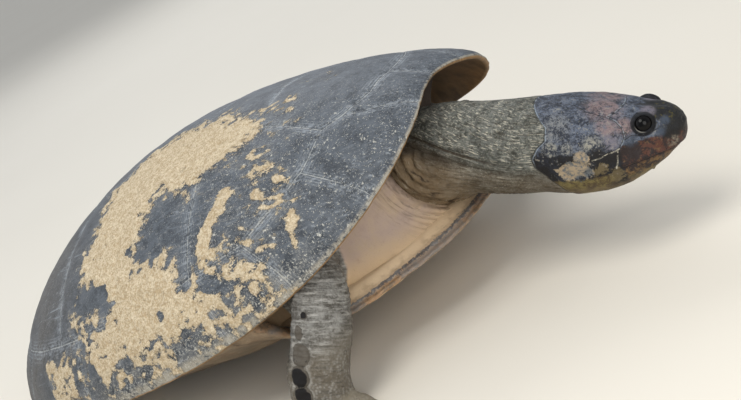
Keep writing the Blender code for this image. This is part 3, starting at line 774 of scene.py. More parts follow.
headSet = {
    "base": (0.3815, -0.0119, -0.0185), "yaw": math.radians(10.4), "pitch": math.radians(-19.6),
    "length": 0.129, "power": 2.25,
    "stations": (0, 0.12, 0.28, 0.45, 0.60, 0.74, 0.86, 0.94, 0.985, 1.0),
    "width": (0.0405, 0.0460, 0.0490, 0.0475, 0.0420, 0.0335, 0.0240, 0.0170, 0.0115, 0.0060),
    "rise": (0.0422, 0.0425, 0.0405, 0.0368, 0.0325, 0.0288, 0.0258, 0.0226, 0.0180, 0.0112),
    "depth": (0.0400, 0.0420, 0.0435, 0.0428, 0.0388, 0.0305, 0.0215, 0.0132, 0.0075, 0.0035),
    "eye": (0.0972, 0.0190, 0.0167), "eyeRadius": 0.0100, "gaze": (0.26, 0.86, 0.44),
    "opening": 0.0071, "lid": 0.0110,
    "mouthUp": -0.0135, "mouthStart": 0.052, "mouthSlope": 0.052,
    "tympanum": (0.0385, -0.0060), "tympanumSize": (0.0150, 0.0100),
    "rearUp": (-0.040, -0.022, -0.010, -0.001, 0.007, 0.016, 0.022, 0.031, 0.038, 0.043),
    "rearAhead": (0.030, 0.022, 0.013, 0.004, 0.003, 0.009, 0.017, 0.018, 0.010, 0.004),
    "nostril": (0.1262, 0.0042, 0.0098), "barbel": (0.096, 0.0058, -0.0290),
}

# seams between head plates: kind, lowest height they show at, then corners (ahead, aside, up) in mm
headSeams = (
    ("dark", 10, ((2, 6, 42), (28, 8, 41), (41, 12, 39), (52, 20.5, 35), (63, 24, 31.5), (70, 25.5, 29))),
    ("pale", 5, ((70, 25.5, 29), (77, 28, 26), (82, 32, 21), (83.5, 36, 14), (82, 38, 11), (78, 41, 6.5))),
    ("pale", 10, ((70, 25, 29.5), (77, 19, 30.5), (81, 12, 31), (82.5, 4, 31.5), (82.5, -2, 31.5))),
    ("cream", -5, ((55, 47.7, 1), (63, 46, 2), (69, 44, 4), (75, 42, 4.5), (79, 41, 6))),
    ("cream", -12, ((76.5, 42, 5), (74.5, 43, -5), (72, 43.5, -12))),
    ("dark", 0, ((83, 37, 12), (89, 33, 13.5), (96, 31, 11.5), (105, 26, 12), (110, 22, 12.5))),
)


def headMatrix():
    cy, sy = math.cos(headSet["yaw"]), math.sin(headSet["yaw"])
    cp, sp = math.cos(headSet["pitch"]), math.sin(headSet["pitch"])
    forward, left = np.array([cp * cy, cp * sy, sp]), np.array([-sy, cy, 0.0])
    up = np.cross(forward, left)
    origin = toRow(np.array(headSet["base"]))
    axes = [toRow(np.array(headSet["base"]) + axis) - origin for axis in (forward, left, up)]
    frameMatrix = Matrix([list(column) for column in zip(*axes)]).to_4x4()
    frameMatrix.translation = Vector(origin)
    return frameMatrix


headFrame = headMatrix()
headBack = headFrame.inverted()


def toHead(points):
    m = np.array(headBack)
    return points @ m[:3, :3].T + m[:3, 3]


def fromHead(points):
    m = np.array(headFrame)
    return points @ m[:3, :3].T + m[:3, 3]


def seamSegments():
    # each stretch of a head seam as a plane through the head's axis, with its two ends
    for kind, lowest, corners in headSeams:
        for a, b in zip(corners, corners[1:]):
            start, end = np.array(a) / 1000, np.array(b) / 1000
            middle = (start + end) / 2
            across = unit(np.cross(end - start, middle * [0, 1, 1]))
            along = (end - start) / ((end - start) @ (end - start))
            yield kind, lowest / 1000, start, across, along


def headProfile(share):
    dense = np.linspace(-0.3, 1.3, 801)
    kernel = np.exp(-np.linspace(-2.5, 2.5, 61) ** 2)
    kernel /= kernel.sum()
    rows = []
    for key in ("width", "rise", "depth"):
        row = np.interp(dense, headSet["stations"], headSet[key])
        row = np.convolve(np.pad(row, 30, mode="edge"), kernel, mode="valid")
        rows.append(np.interp(share, dense, row))
    return rows


def mouthGap(ahead, up):
    # height over the line of the mouth
    return up - (headSet["mouthUp"] + (ahead - headSet["mouthStart"]) * headSet["mouthSlope"])


def sculptHead(p):
    # p in head metres; returns the moved points, and how far each lies ahead of the plates' rear edge
    hs = headSet
    share = p[:, 0] / hs["length"]
    width, rise, depth = headProfile(share)
    tall = np.where(p[:, 2] > 0, rise, depth)
    power = hs["power"]
    ratio = ((np.abs(p[:, 1]) / width) ** power + (np.abs(p[:, 2]) / tall) ** power) ** (1 / power)
    aside = np.abs(p[:, 1])
    eye, gaze = np.array(hs["eye"]), unit(np.array(hs["gaze"]))
    offset = onLeft(p) - eye
    depthOn = offset @ gaze
    beside = np.linalg.norm(offset - depthOn[:, None] * gaze, axis=1)
    facing = depthOn > -0.004
    nearEye = np.where(facing, ease(beside, 0.0175, 0.0105), 0.0)
    onHead = ease(share, -0.02, 0.10) * ease(share, 0.97, 0.88) * (1 - nearEye)
    scale = 1 + (1 / np.maximum(ratio, 0.2) - 1) * onHead
    out = p.copy()
    out[:, 1:] *= scale[:, None]
    radial = unit(out * [0, 1, 1])
    ahead, up = out[:, 0], out[:, 2]

    # plates stand a little proud of the neck, and their seams are cut in
    shield = ahead - np.interp(up, hs["rearUp"], hs["rearAhead"])
    lift = 0.0008 * ease(shield, -0.0012, 0.0014) * ease(share, 0.9, 0.5)
    seam = np.full(len(p), 9.0)
    left = onLeft(out)
    for _, lowest, start, across, along in seamSegments():
        t = (left - start) @ along
        gap = np.abs((left - start) @ across)
        inside = (t > -0.03) & (t < 1.03) & (up > lowest)
        seam = np.where(inside, np.minimum(seam, gap), seam)
    lift += 0.00035 * bell(seam, 0, 0.0030) - 0.00075 * bell(seam, 0, 0.0010)
    # cheek hollow under the eye, temple swell behind it, groove between the eyes, brows beside it
    lift -= 0.0022 * bell(ahead, 0.093, 0.014) * bell(up, 0.001, 0.008) * (aside > 0.012)
    lift += 0.0012 * bell(ahead, 0.050, 0.020) * bell(up, 0.018, 0.012)
    groove = ease(ahead, 0.076, 0.090) * ease(ahead, 0.122, 0.112) * (up > 0)
    lift -= 0.0016 * bell(aside, 0, 0.0034) * groove
    lift += 0.0011 * bell(ahead, 0.094, 0.012) * bell(aside, 0.0150, 0.004) * (up > 0.012)
    # mouth: a cut, with the lower jaw set in under it
    mouth = mouthGap(ahead, up)
    gape = ease(ahead, hs["mouthStart"], hs["mouthStart"] + 0.010)
    lift -= 0.0017 * bell(mouth, 0, 0.0010) * gape
    lift -= 0.0009 * ease(mouth, 0.0, -0.0018) * ease(mouth, -0.012, -0.004) * gape
    lift += 0.0005 * bell(mouth, 0.0022, 0.0016) * gape
    # eardrum: a shallow disc with a soft rim
    drumAhead, drumUp = hs["tympanum"]
    sizeAhead, sizeUp = hs["tympanumSize"]
    disc = np.sqrt(((ahead - drumAhead) / sizeAhead) ** 2 + ((up - drumUp) / sizeUp) ** 2)
    lift -= 0.0011 * ease(disc, 1.0, 0.78)
    lift += 0.0007 * bell(disc, 1.12, 0.13)
    lift += 0.00022 * wobble(out, 0.012, 41) * ease(share, 0.0, 0.2)
    lift *= ease(share, -0.06, 0.02) * (1 - nearEye)
    out += radial * lift[:, None]
    # nostrils at the tip of the snout, barbels under the chin
    for side in (-1, 1):
        far = np.linalg.norm(out - np.array(hs["nostril"]) * [1, side, 1], axis=1)
        out[:, 0] -= 0.0030 * bell(far, 0, 0.0021)
        out[:, 0] += 0.0006 * bell(far, 0.0040, 0.0012)
        far = np.linalg.norm((out - np.array(hs["barbel"]) * [1, side, 1]) * [1, 1, 0.25], axis=1)
        out[:, 2] -= 0.0024 * bell(far, 0, 0.0020) * (up < -0.018)

    # lids over the eyeball
    offset = onLeft(out) - eye
    depthOn = offset @ gaze
    flat = offset - depthOn[:, None] * gaze
    lidUp = flat @ unit(np.array([0.0, 0.0, 1.0]) - gaze * gaze[2])
    beside = np.sqrt((flat ** 2).sum(axis=1) + 0.22 * lidUp ** 2)
    ball = np.sqrt(np.maximum(hs["eyeRadius"] ** 2 - beside ** 2, 0.0))
    inside = ease(beside, hs["opening"] + 0.0004, hs["opening"] - 0.0006)
    # from the opening's edge the lid runs out level with the head, a little plump on the way
    brim = math.sqrt(hs["eyeRadius"] ** 2 - hs["opening"] ** 2) + 0.0011
    across = ease(beside, hs["opening"], hs["lid"] + 0.0006)
    lidTop = brim * (1 - across) + depthOn * across
    lidTop += 0.0006 * np.sin(np.pi * across) - 0.0008 * ease(lidUp, 0.002, 0.008) * across
    lidHeight = lidTop * (1 - inside) + (ball - 0.0022) * inside
    onLid = ease(beside, hs["lid"] + 0.0016, hs["lid"] - 0.0004)
    target = depthOn * (1 - onLid) + lidHeight * onLid
    target -= 0.0009 * bell(beside, hs["lid"] + 0.0004, 0.0010)
    target -= 0.0003 * bell(beside, hs["opening"] + 0.0021, 0.0005)
    move = np.where(facing & (beside < 0.02), target - depthOn, 0.0)
    sides = np.where(out[:, 1] < 0, -1, 1)
    out += np.stack([move * gaze[0], move * sides * gaze[1], move * gaze[2]], -1)
    return out, shield


# one skin over trunk, neck, head, legs, feet and tail

fleshNodes = ["trunk", "neck", "head", "lower_jaw", "tail"]
for end, hand in (("fore", "left"), ("fore", "right"), ("hind", "left"), ("hind", "right")):
    fleshNodes += [end + "leg_" + hand, end + "foot_" + hand]

skinSet = {
    "voxel": 0.0029, "grow": 0.0007, "smooth": 5, "triangles": 192000,
    # hidden under the vault, and round the upper face of the plastron, in shell metres
    "hideReach": 0.865, "hideDepth": 0.0075, "plateTop": -0.04314, "plateNear": 0.0042, "plateRatio": 0.78,
    "plateRear": -0.18,
    # collar round the neck's root that is smoothed more
    "collarFrom": 0.17, "collarTo": 0.29, "collarHalf": 0.14, "collarSmooth": 14,
    "legSlim": 0.45, "farShoulder": 0.015,
}


def closeness(points, names, reach):
    # 1 on the named CAD bodies, falling to 0 at a distance
    best = np.full(len(points), 9.0)
    for name in names:
        source = cadCopy(name)
        tree = BVHTree.FromBMesh(source)
        source.free()
        for k in np.nonzero(inBox(points, name, reach))[0]:
            best[k] = min(best[k], tree.find_nearest(Vector(points[k]))[3])
    return ease(best, reach, 0.0)


def buildSkin(material):
    st = skinSet
    sources = [cadCopy(name, st["grow"]) for name in fleshNodes]
    sources += [cadCopy("eye_left", 0.0002), cadCopy("eye_right", 0.0002)]
    mesh = remeshed(sources, st["voxel"])
    print("skin union", len(mesh.polygons))

    # cut away what the shell hides, above and below
    p = toShell(readPoints(mesh))
    reach, bearing = reachOf(p)
    vault = vaultAt(np.minimum(reach, 1.0), bearing, shellShape["thick"])[:, 2]
    hidden = (reach < st["hideReach"]) & (p[:, 2] > vault - st["hideDepth"])
    nearPlate = np.abs(p[:, 2] - st["plateTop"]) < st["plateNear"]
    hidden |= nearPlate & (lobeRatio(p) < st["plateRatio"]) & (p[:, 0] > st["plateRear"])
    bm = bmesh.new()
    bm.from_mesh(mesh)
    bmesh.ops.delete(bm, geom=pick(bm, hidden), context="VERTS")
    bmesh.ops.delete(bm, geom=[v for v in bm.verts if not v.link_faces], context="VERTS")
    keepLargest(bm)
    smoothSome(bm, [v for v in bm.verts if not v.is_boundary], st["smooth"])
    s = toShell(spotsOf(bm))
    collar = (s[:, 0] > st["collarFrom"]) & (s[:, 0] < st["collarTo"]) & (np.abs(s[:, 1]) < st["collarHalf"])
    smoothSome(bm, [v for v in pick(bm, collar) if not v.is_boundary], st["collarSmooth"])

    # finer mesh on neck, armpits, forelegs and head, finest round the eyes, the mouth and the snout
    for level in (0, 1):
        here = spotsOf(bm)
        h, s = toHead(here), toShell(here)
        if level == 0:
            chosen = (s[:, 0] > 0.205) & (np.abs(s[:, 1]) < 0.13)
            onLegs = inBox(here, "foreleg_left", 0.006) | inBox(here, "foreleg_right", 0.006)
            chosen |= onLegs & (here[:, 2] < 0.125) & (np.abs(s[:, 1]) > 0.125)
        else:
            eye = np.linalg.norm(onLeft(h) - headSet["eye"], axis=1)
            mouth = np.abs(mouthGap(h[:, 0], h[:, 2]))
            chosen = (eye < 0.0185) | ((mouth < 0.0040) & (h[:, 0] > 0.048)) | (h[:, 0] > 0.118)
            barbels = np.abs(h[:, 0] - headSet["barbel"][0]) < 0.006
            chosen |= barbels & (np.abs(h[:, 1]) < 0.011) & (h[:, 2] < -0.02)
        picked = set(pick(bm, chosen))
        edges = [e for e in bm.edges if e.verts[0] in picked and e.verts[1] in picked]
        bmesh.ops.subdivide_edges(bm, edges=edges, cuts=1, use_grid_fill=True)
        again = [v for v in bm.verts if len(v.link_edges) > 2 and not v.is_boundary and v not in picked]
        smoothSome(bm, [v for v in again if any(e.other_vert(v) in picked for e in v.link_edges)], 2)
        if level == 0:
            smoothSome(bm, [v for v in picked if v.is_valid and not v.is_boundary], 1)

    # caps that close it inside the shell
    bmesh.ops.holes_fill(bm, edges=[e for e in bm.edges if e.is_boundary], sides=0)
    bmesh.ops.triangulate(bm, faces=[f for f in bm.faces if len(f.verts) > 4])
    bmesh.ops.recalc_face_normals(bm, faces=bm.faces)
    mesh = meshOf(bm, "skin")
    print("skin faces", len(mesh.polygons))

    p = readPoints(mesh)
    h = toHead(p)
    head, shield = sculptHead(h)
    inHead = ease(h[:, 0], -0.016, 0.002)
    nearHead = np.linalg.norm(h[:, 1:], axis=1) < 0.07
    p = np.where((inHead > 0)[:, None] & nearHead[:, None], fromHead(head), p)
    writePoints(mesh, p)

    normals = readNormals(mesh)
    neck = closeness(p, ["neck", "head", "lower_jaw"], 0.014)
    fore = closeness(p, [name for name in fleshNodes if "fore" in name], 0.010)
    hind = closeness(p, [name for name in fleshNodes if "hind" in name] + ["tail"], 0.010)
    feet = closeness(p, [name for name in fleshNodes if "foot" in name], 0.006)
    s = toShell(p)
    height, zone, fields = neckFolds(s, neck)
    limb = np.maximum(fore, hind)
    lean = p[:, 0] * legLean[0] - np.abs(p[:, 1]) * legLean[1] + p[:, 2] * legLean[2]
    bands = ripple(lean + 0.0012 * wobble(p, 0.025, 55), 0.0050)
    height += fore * ease(p[:, 2], 0.050, 0.075) * 0.00045 * bands
    height += limb * (0.0008 * wobble(p * [1, 1, 1.6], 0.024, 51) + 0.00045 * grain(p * [1, 1, 1.8], 0.0042))
    body = (1 - limb) * (1 - zone) * (toHead(p)[:, 0] < 0)
    height += body * (0.0009 * wobble(s, 0.05, 53) + 0.0003 * wobble(s * [1, 1, 2], 0.016, 54))
    height += toeRidges(p, feet)
    scales, scaleGap = legScales(p, fore)
    height += scales
    p = p + normals * height[:, None]
    # each foreleg is slimmer behind, up under the rim
    behind = legBack[0] + legBack[1] * s[:, 2] - s[:, 0]
    upper = ease(s[:, 2], -0.065, -0.030) * ease(np.abs(s[:, 1]), 0.165, 0.190) * fore
    p[:, 0] += st["legSlim"] * np.maximum(behind, 0) * upper
    # the far shoulder lies a little lower under its skin
    shoulder = ease(s[:, 1], 0.14, 0.18) * ease(s[:, 0], 0.12, 0.16) * ease(s[:, 2], -0.055, -0.022)
    p[:, 2] -= st["farShoulder"] * shoulder
    p[:, 2] = np.maximum(p[:, 2], 0.0)
    writePoints(mesh, p)
    # painted shade: skin high inside the shell's opening, and behind each foreleg's upper edge, is marked to
    # be painted near-black
    inside = np.maximum(1 - neck, ease(s[:, 0], 0.266, 0.250))
    shade = ease(s[:, 2], 0.018, 0.040) * inside
    addField(mesh, "inShade", np.maximum(shade, upper * ease(behind, 0.000, 0.012) * 0.42))
    addField(mesh, "neckZone", zone)
    addField(mesh, "foreZone", fore)
    addField(mesh, "hindZone", hind)
    addField(mesh, "footZone", feet)
    addField(mesh, "shield", np.where(inHead > 0, shield, -0.05))
    addField(mesh, "bigScale", scaleGap)
    for name, values in fields.items():
        addField(mesh, name, values)
    # fewer faces where the surface is calm, but as many as before on the head
    free = [int(k) for k in np.nonzero(inHead <= 0.5)[0]]
    share = st["triangles"] / trianglesIn(mesh)
    mesh = modified(mesh, "DECIMATE", {"ratio": share, "vertex_group": "free"}, free)
    print("skin triangles", trianglesIn(mesh))
    linkPiece("skin", mesh, material, fleshNodes)


def keepLargest(bm):
    left, best = set(bm.verts), []
    while left:
        stack, island = [left.pop()], []
        while stack:
            vert = stack.pop()
            island.append(vert)
            for edge in vert.link_edges:
                other = edge.other_vert(vert)
                if other in left:
                    left.remove(other)
                    stack.append(other)
        if len(island) > len(best):
            best = island
    keep = set(best)
    bmesh.ops.delete(bm, geom=[v for v in bm.verts if v not in keep], context="VERTS")


neckSet = {
    "root": (0.190, 0.0, 0.010), "girth": 0.045, "length": 0.193,
    # the two long grooves: place round the neck in degrees from the top, width, depth
    "grooves": ((31, 3.2, 0.0026), (43, 7.5, 0.0036)), "spiral": 100,
    # gathered folds low on each side: middle of the arcs in shell metres, the way they face, their upright
    "arcs": (0.3223, -0.0473, 0.0347), "facing": (0.6702, -0.7077, 0.2229),
    "upright": (0.3000, 0.5338, 0.7906), "crease": 0.0590,
}


def arcPlace(s):
    # square to the neck's side: distance from the middle of the arcs, how much of it is down, and way ahead
    facing, upright = np.array(neckSet["facing"]), np.array(neckSet["upright"])
    q = onLeft(s) * [1, -1, 1] - neckSet["arcs"]
    flat = q - (q @ facing)[:, None] * facing
    radius = np.linalg.norm(flat, axis=1)
    return radius, -(flat @ upright) / np.maximum(radius, 1e-6), flat @ np.cross(upright, facing)


def neckFolds(s, neck):
    ns = neckSet
    root = np.array(ns["root"])
    span = headSet["base"] - root
    t = ((s - root) @ span) / (span @ span)
    off = s - (root + np.clip(t, 0, 1)[:, None] * span)
    around = np.degrees(np.arctan2(np.abs(off[:, 1]), off[:, 2]))       # 0 on top, 90 at the side, 180 below
    turn = around - ns["spiral"] * (t - 0.45)
    height = np.zeros(len(s))
    window = ease(t, 0.10, 0.40) * ease(t, 1.03, 0.80)
    for angle, width, depth in ns["grooves"]:
        height -= depth * (1 + ease(t, 0.80, 0.45)) * bell(turn, angle, width) * window
    low = ease(turn, 22, 36) * ease(t, 1.03, 0.85)
    waves = ripple(turn + 2.2 * wobble(s, 0.045, 61), 6.2) + 0.5 * ripple(turn + 40 * t, 3.6)
    height += 0.00055 * waves * window * (0.25 + 0.75 * low)
    # it widens over the back of the head
    ahead = toHead(toRow(s))[:, 0]
    height += 0.0034 * ease(t, 0.72, 1.0) * ease(around, 115, 60) * ease(ahead, 0.014, -0.004)
    height *= neck
    # the sack of skin at the neck's root, gathered in arcs over a deep crease
    radius, down, arcAhead = arcPlace(s)
    near = (s[:, 0] > 0.20) & (ahead < -0.02)
    early = ease(t, 0.72, 0.50) * near
    under = ease(down, 0.12, 0.42) * early
    height += 0.0062 * bell(radius, 0.0455, 0.012) * under
    height -= 0.0052 * bell(radius, ns["crease"], 0.0024) * under
    gather = ripple(radius + 0.0012 * wobble(s, 0.03, 62), 0.0074)
    height += 0.0015 * gather * ease(radius, 0.020, 0.032) * ease(radius, 0.0575, 0.052) * under
    outer = ripple(radius, 0.0052) * ease(radius, 0.0605, 0.065) * ease(radius, 0.094, 0.080)
    height += 0.00055 * outer * ease(down, 0.15, 0.45) * early
    inside = ease(radius, ns["crease"] + 0.0012, ns["crease"] - 0.0008) * ease(down, 0.0, 0.2) * near
    outside = ease(radius, ns["crease"] - 0.0012, ns["crease"] + 0.0008) * ease(down, 0.10, 0.30) * early
    zone = np.maximum(neck, inside) * (1 - outside)
    # the same places as metres on the skin, for the material's wrinkles
    fields = {"neckTurn": np.radians(turn) * ns["girth"], "neckAlong": t * ns["length"],
              "arcRadius": radius, "arcAhead": arcAhead, "arcShare": under}
    return height, zone, fields


def clawEnds(name, foot):
    # root and tip of a CAD claw, the root being the end nearest its foot's middle
    points = readPoints(nodes[name].data)
    away = np.linalg.norm((points - boxMiddle(foot))[:, :2], axis=1)
    tip = points[np.argmax(away)]
    rootSide = points[away < away.min() + 0.25 * (away.max() - away.min())]
    return rootSide.mean(axis=0), tip


clawNames = [("fore", hand, k) for hand in ("left", "right") for k in range(1, 6)]
clawNames += [("hind", hand, k) for hand in ("left", "right") for k in range(1, 5)]


toeSet = {"tall": 0.0030, "wide": 0.0050, "web": 0.0008, "startBehind": 0.25, "sole": 0.003}


def toeRidges(p, feet):
    # a soft ridge from the middle of the foot to each claw, and a dip in the web between
    height = np.zeros(len(p))
    for end, hand, k in clawNames:
        foot = end + "foot_" + hand
        root = clawEnds("%s_claw_%s_%d" % (end, hand, k), foot)[0]
        middle = boxMiddle(foot)
        start = middle + (middle - root) * toeSet["startBehind"]
        line = (root - start) * [1, 1, 0]
        t = np.clip(((p - start) @ line) / (line @ line), 0, 1)
        gap = np.linalg.norm((p - (start + t[:, None] * line))[:, :2], axis=1)
        ridge = toeSet["tall"] * bell(gap, 0, toeSet["wide"]) * ease(t, 0.05, 0.5)
        height = np.maximum(height, ridge)
    return (height - toeSet["web"]) * feet * (p[:, 2] > toeSet["sole"])


legLean = (0.187, 0.533, 0.825)         # the way up a foreleg, aside counted outwards
legBack = (0.2075, 0.587)               # where its back edge stands ahead, and how that changes with height

# big flat scales down each foreleg's outer edge: place as shares of the right leg's box, half size, darkness
legScaleSet = {
    "spots": ((0.788, 0.293, 0.686, 0.0032, 0.5), (0.743, 0.210, 0.616, 0.0044, 0.12),
              (0.725, 0.135, 0.497, 0.0096, 0.12), (0.670, 0.064, 0.365, 0.0092, 0.5),
              (0.650, 0.025, 0.245, 0.0094, 0.5), (0.620, 0.010, 0.130, 0.0080, 0.5)),
    "proud": 0.0012, "groove": 0.0010,
}


def legScales(p, fore):
    # their relief, and a field that is over 0 on a scale and higher on the dark ones
    height = np.zeros(len(p))
    field = np.full(len(p), -1.0)
    spread = ease(fore, 0.3, 0.9)
    onLeg = np.nonzero(fore > 0.7)[0]
    for hand, side in (("left", 1), ("right", -1)):
        low, high = [np.array(corner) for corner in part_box("foreleg_" + hand)]
        for ahead, inward, up, size, dark in legScaleSet["spots"]:
            share = np.array([ahead, 1 - inward if side > 0 else inward, up])
            guess = low + (high - low) * share
            centre = p[onLeg[np.argmin(np.linalg.norm(p[onLeg] - guess, axis=1))]]
            gap = np.linalg.norm((p - centre) * [1, 1, 0.84 if size > 0.005 else 0.42], axis=1)
            inside = 1 - gap / size
            field = np.maximum(field, np.where(spread > 0, np.minimum(inside, dark), -1))
            height += legScaleSet["proud"] * ease(inside, 0.02, 0.22) * spread
            height -= legScaleSet["groove"] * bell(inside, -0.05, 0.09) * spread
            height += 0.0007 * bell(inside, -0.30, 0.14) * spread
    return height, field


skinLook = {
    "neckTop": (0.150, 0.156, 0.140), "neckDark": (0.038, 0.040, 0.033), "neckLow": (0.200, 0.135, 0.072),
    # the first two colours on the next line are painted shade, for creases in the skin and for skin in the
    # shell's shade
    "creaseShade": (0.040, 0.026, 0.015), "hollow": (0.014, 0.009, 0.006), "dust": (0.570, 0.530, 0.420),
    "belly": (0.450, 0.345, 0.246), "bellyPink": (0.420, 0.325, 0.275), "bellyWarm": (0.660, 0.470, 0.270),
    "leg": (0.235, 0.230, 0.212), "legMid": (0.118, 0.098, 0.070), "legDark": (0.060, 0.054, 0.045),
    "legPale": (0.430, 0.420, 0.390), "web": (0.230, 0.200, 0.145),
    "scale": (0.006, 0.005, 0.005), "scaleGrey": (0.060, 0.050, 0.038),
    # the pink plate colour on the next line also carries a painted wet sheen
    "plate": (0.094, 0.112, 0.150), "plateDeep": (0.018, 0.022, 0.032), "platePinkSheen": (0.215, 0.148, 0.140),
    "plateOlive": (0.270, 0.255, 0.200), "blotch": (0.009, 0.008, 0.008), "cream": (0.330, 0.260, 0.172),
    "lilac": (0.150, 0.135, 0.160), "drumGrey": (0.110, 0.120, 0.125),
    "yellow": (0.190, 0.152, 0.052), "brown": (0.065, 0.042, 0.022), "red": (0.082, 0.030, 0.018),
    "redDeep": (0.020, 0.012, 0.011), "ochre": (0.150, 0.088, 0.034), "tan": (0.210, 0.180, 0.135),
    # the first colour on the next line is a painted highlight beside seams and edges of the head plates
    "seamHighlight": (0.290, 0.340, 0.380), "seamCream": (0.480, 0.450, 0.360),
    "lid": (0.004, 0.004, 0.005), "lidPale": (0.042, 0.042, 0.050), "lidRing": (0.450, 0.430, 0.370),
    # the second colour on the next line is wet skin, in part a painted reflection
    "snout": (0.007, 0.007, 0.007), "wetSheen": (0.042, 0.056, 0.082), "moss": (0.080, 0.067, 0.014),
    "throat": (0.160, 0.122, 0.060),
}

# soft round patches on the head: place in head metres, outer and inner reach, and strength where it isn't 1
headPatches = {
    # the pink patches also carry a painted wet sheen on top of the head
    "pinkSheen": (((0.066, 0.014, 0.034), 0.024, 0.008), ((0.070, 0.034, 0.0255), 0.013, 0.004),
             ((0.084, 0.031, 0.0215), 0.012, 0.004)),
    "olive": (((0.026, 0.036, 0.032), 0.020, 0.006, 0.40), ((0.021, 0.0456, 0.0144), 0.010, 0.004),
              ((0.0575, 0.047, 0.0135), 0.013, 0.005), ((0.0355, 0.048, 0.0150), 0.008, 0.003, 0.7)),
    "temple": (((0.073, 0.042, 0.013), 0.010, 0.003),),
    # the brow patch is lilac colour and partly a painted highlight
    "browTintAndHighlight": (((0.102, 0.0118, 0.0252), 0.0085, 0.004),),
    "cheek": (((0.0605, 0.047, -0.0095), 0.0105, 0.003), ((0.071, 0.041, -0.019), 0.013, 0.004)),
    "drum": (((0.050, 0.046, -0.010), 0.007, 0.003), ((0.041, 0.046, -0.0145), 0.006, 0.0025)),
    "tongue": (((0.0475, 0.049, 0.0050), 0.0112, 0.0035),),
    "redder": (((0.102, 0.029, 0.0020), 0.012, 0.003), ((0.112, 0.023, -0.0050), 0.011, 0.003)),
    "duller": (((0.088, 0.035, 0.000), 0.010, 0.003),),
    "lip": (((0.120, 0.018, -0.002), 0.008, 0.003),),
    # the wet patches are blue-grey wet skin, in part a painted reflection
    "wetSheen": (((0.1154, 0.0158, 0.0163), 0.0058, 0.002), ((0.1105, 0.0215, 0.0090), 0.0066, 0.002),
            ((0.0890, 0.0350, 0.0100), 0.0080, 0.003, 0.7)),
}

# broken pale edges beside some of the seams, a painted highlight on the pale kind and cream colour on the
# cream kind: colour, width, strength
seamEdges = {"pale": ("seamHighlight", 0.00062, 0.50), "cream": ("seamCream", 0.00090, 0.75)}


def headPlace(wire):
    # place in head metres, its parts, and the place with both sides folded onto the left
    head = wire.spot(tuple(headFrame.translation), tuple(headFrame.to_euler()))
    ahead, left, up = head.split()
    aside = abs(left)
    return head, ahead, aside, up, wire.join(ahead, aside, up)


def eyePlace(folded):
    # offset from the eye's middle, its part along the gaze, and the distance beside the gaze
    offset = folded.minus(headSet["eye"])
    depth = offset.dot(tuple(Vector(headSet["gaze"]).normalized()))
    return offset, depth, (offset.away((0, 0, 0)) ** 2.0 - depth * depth).top(0.0) ** 0.5


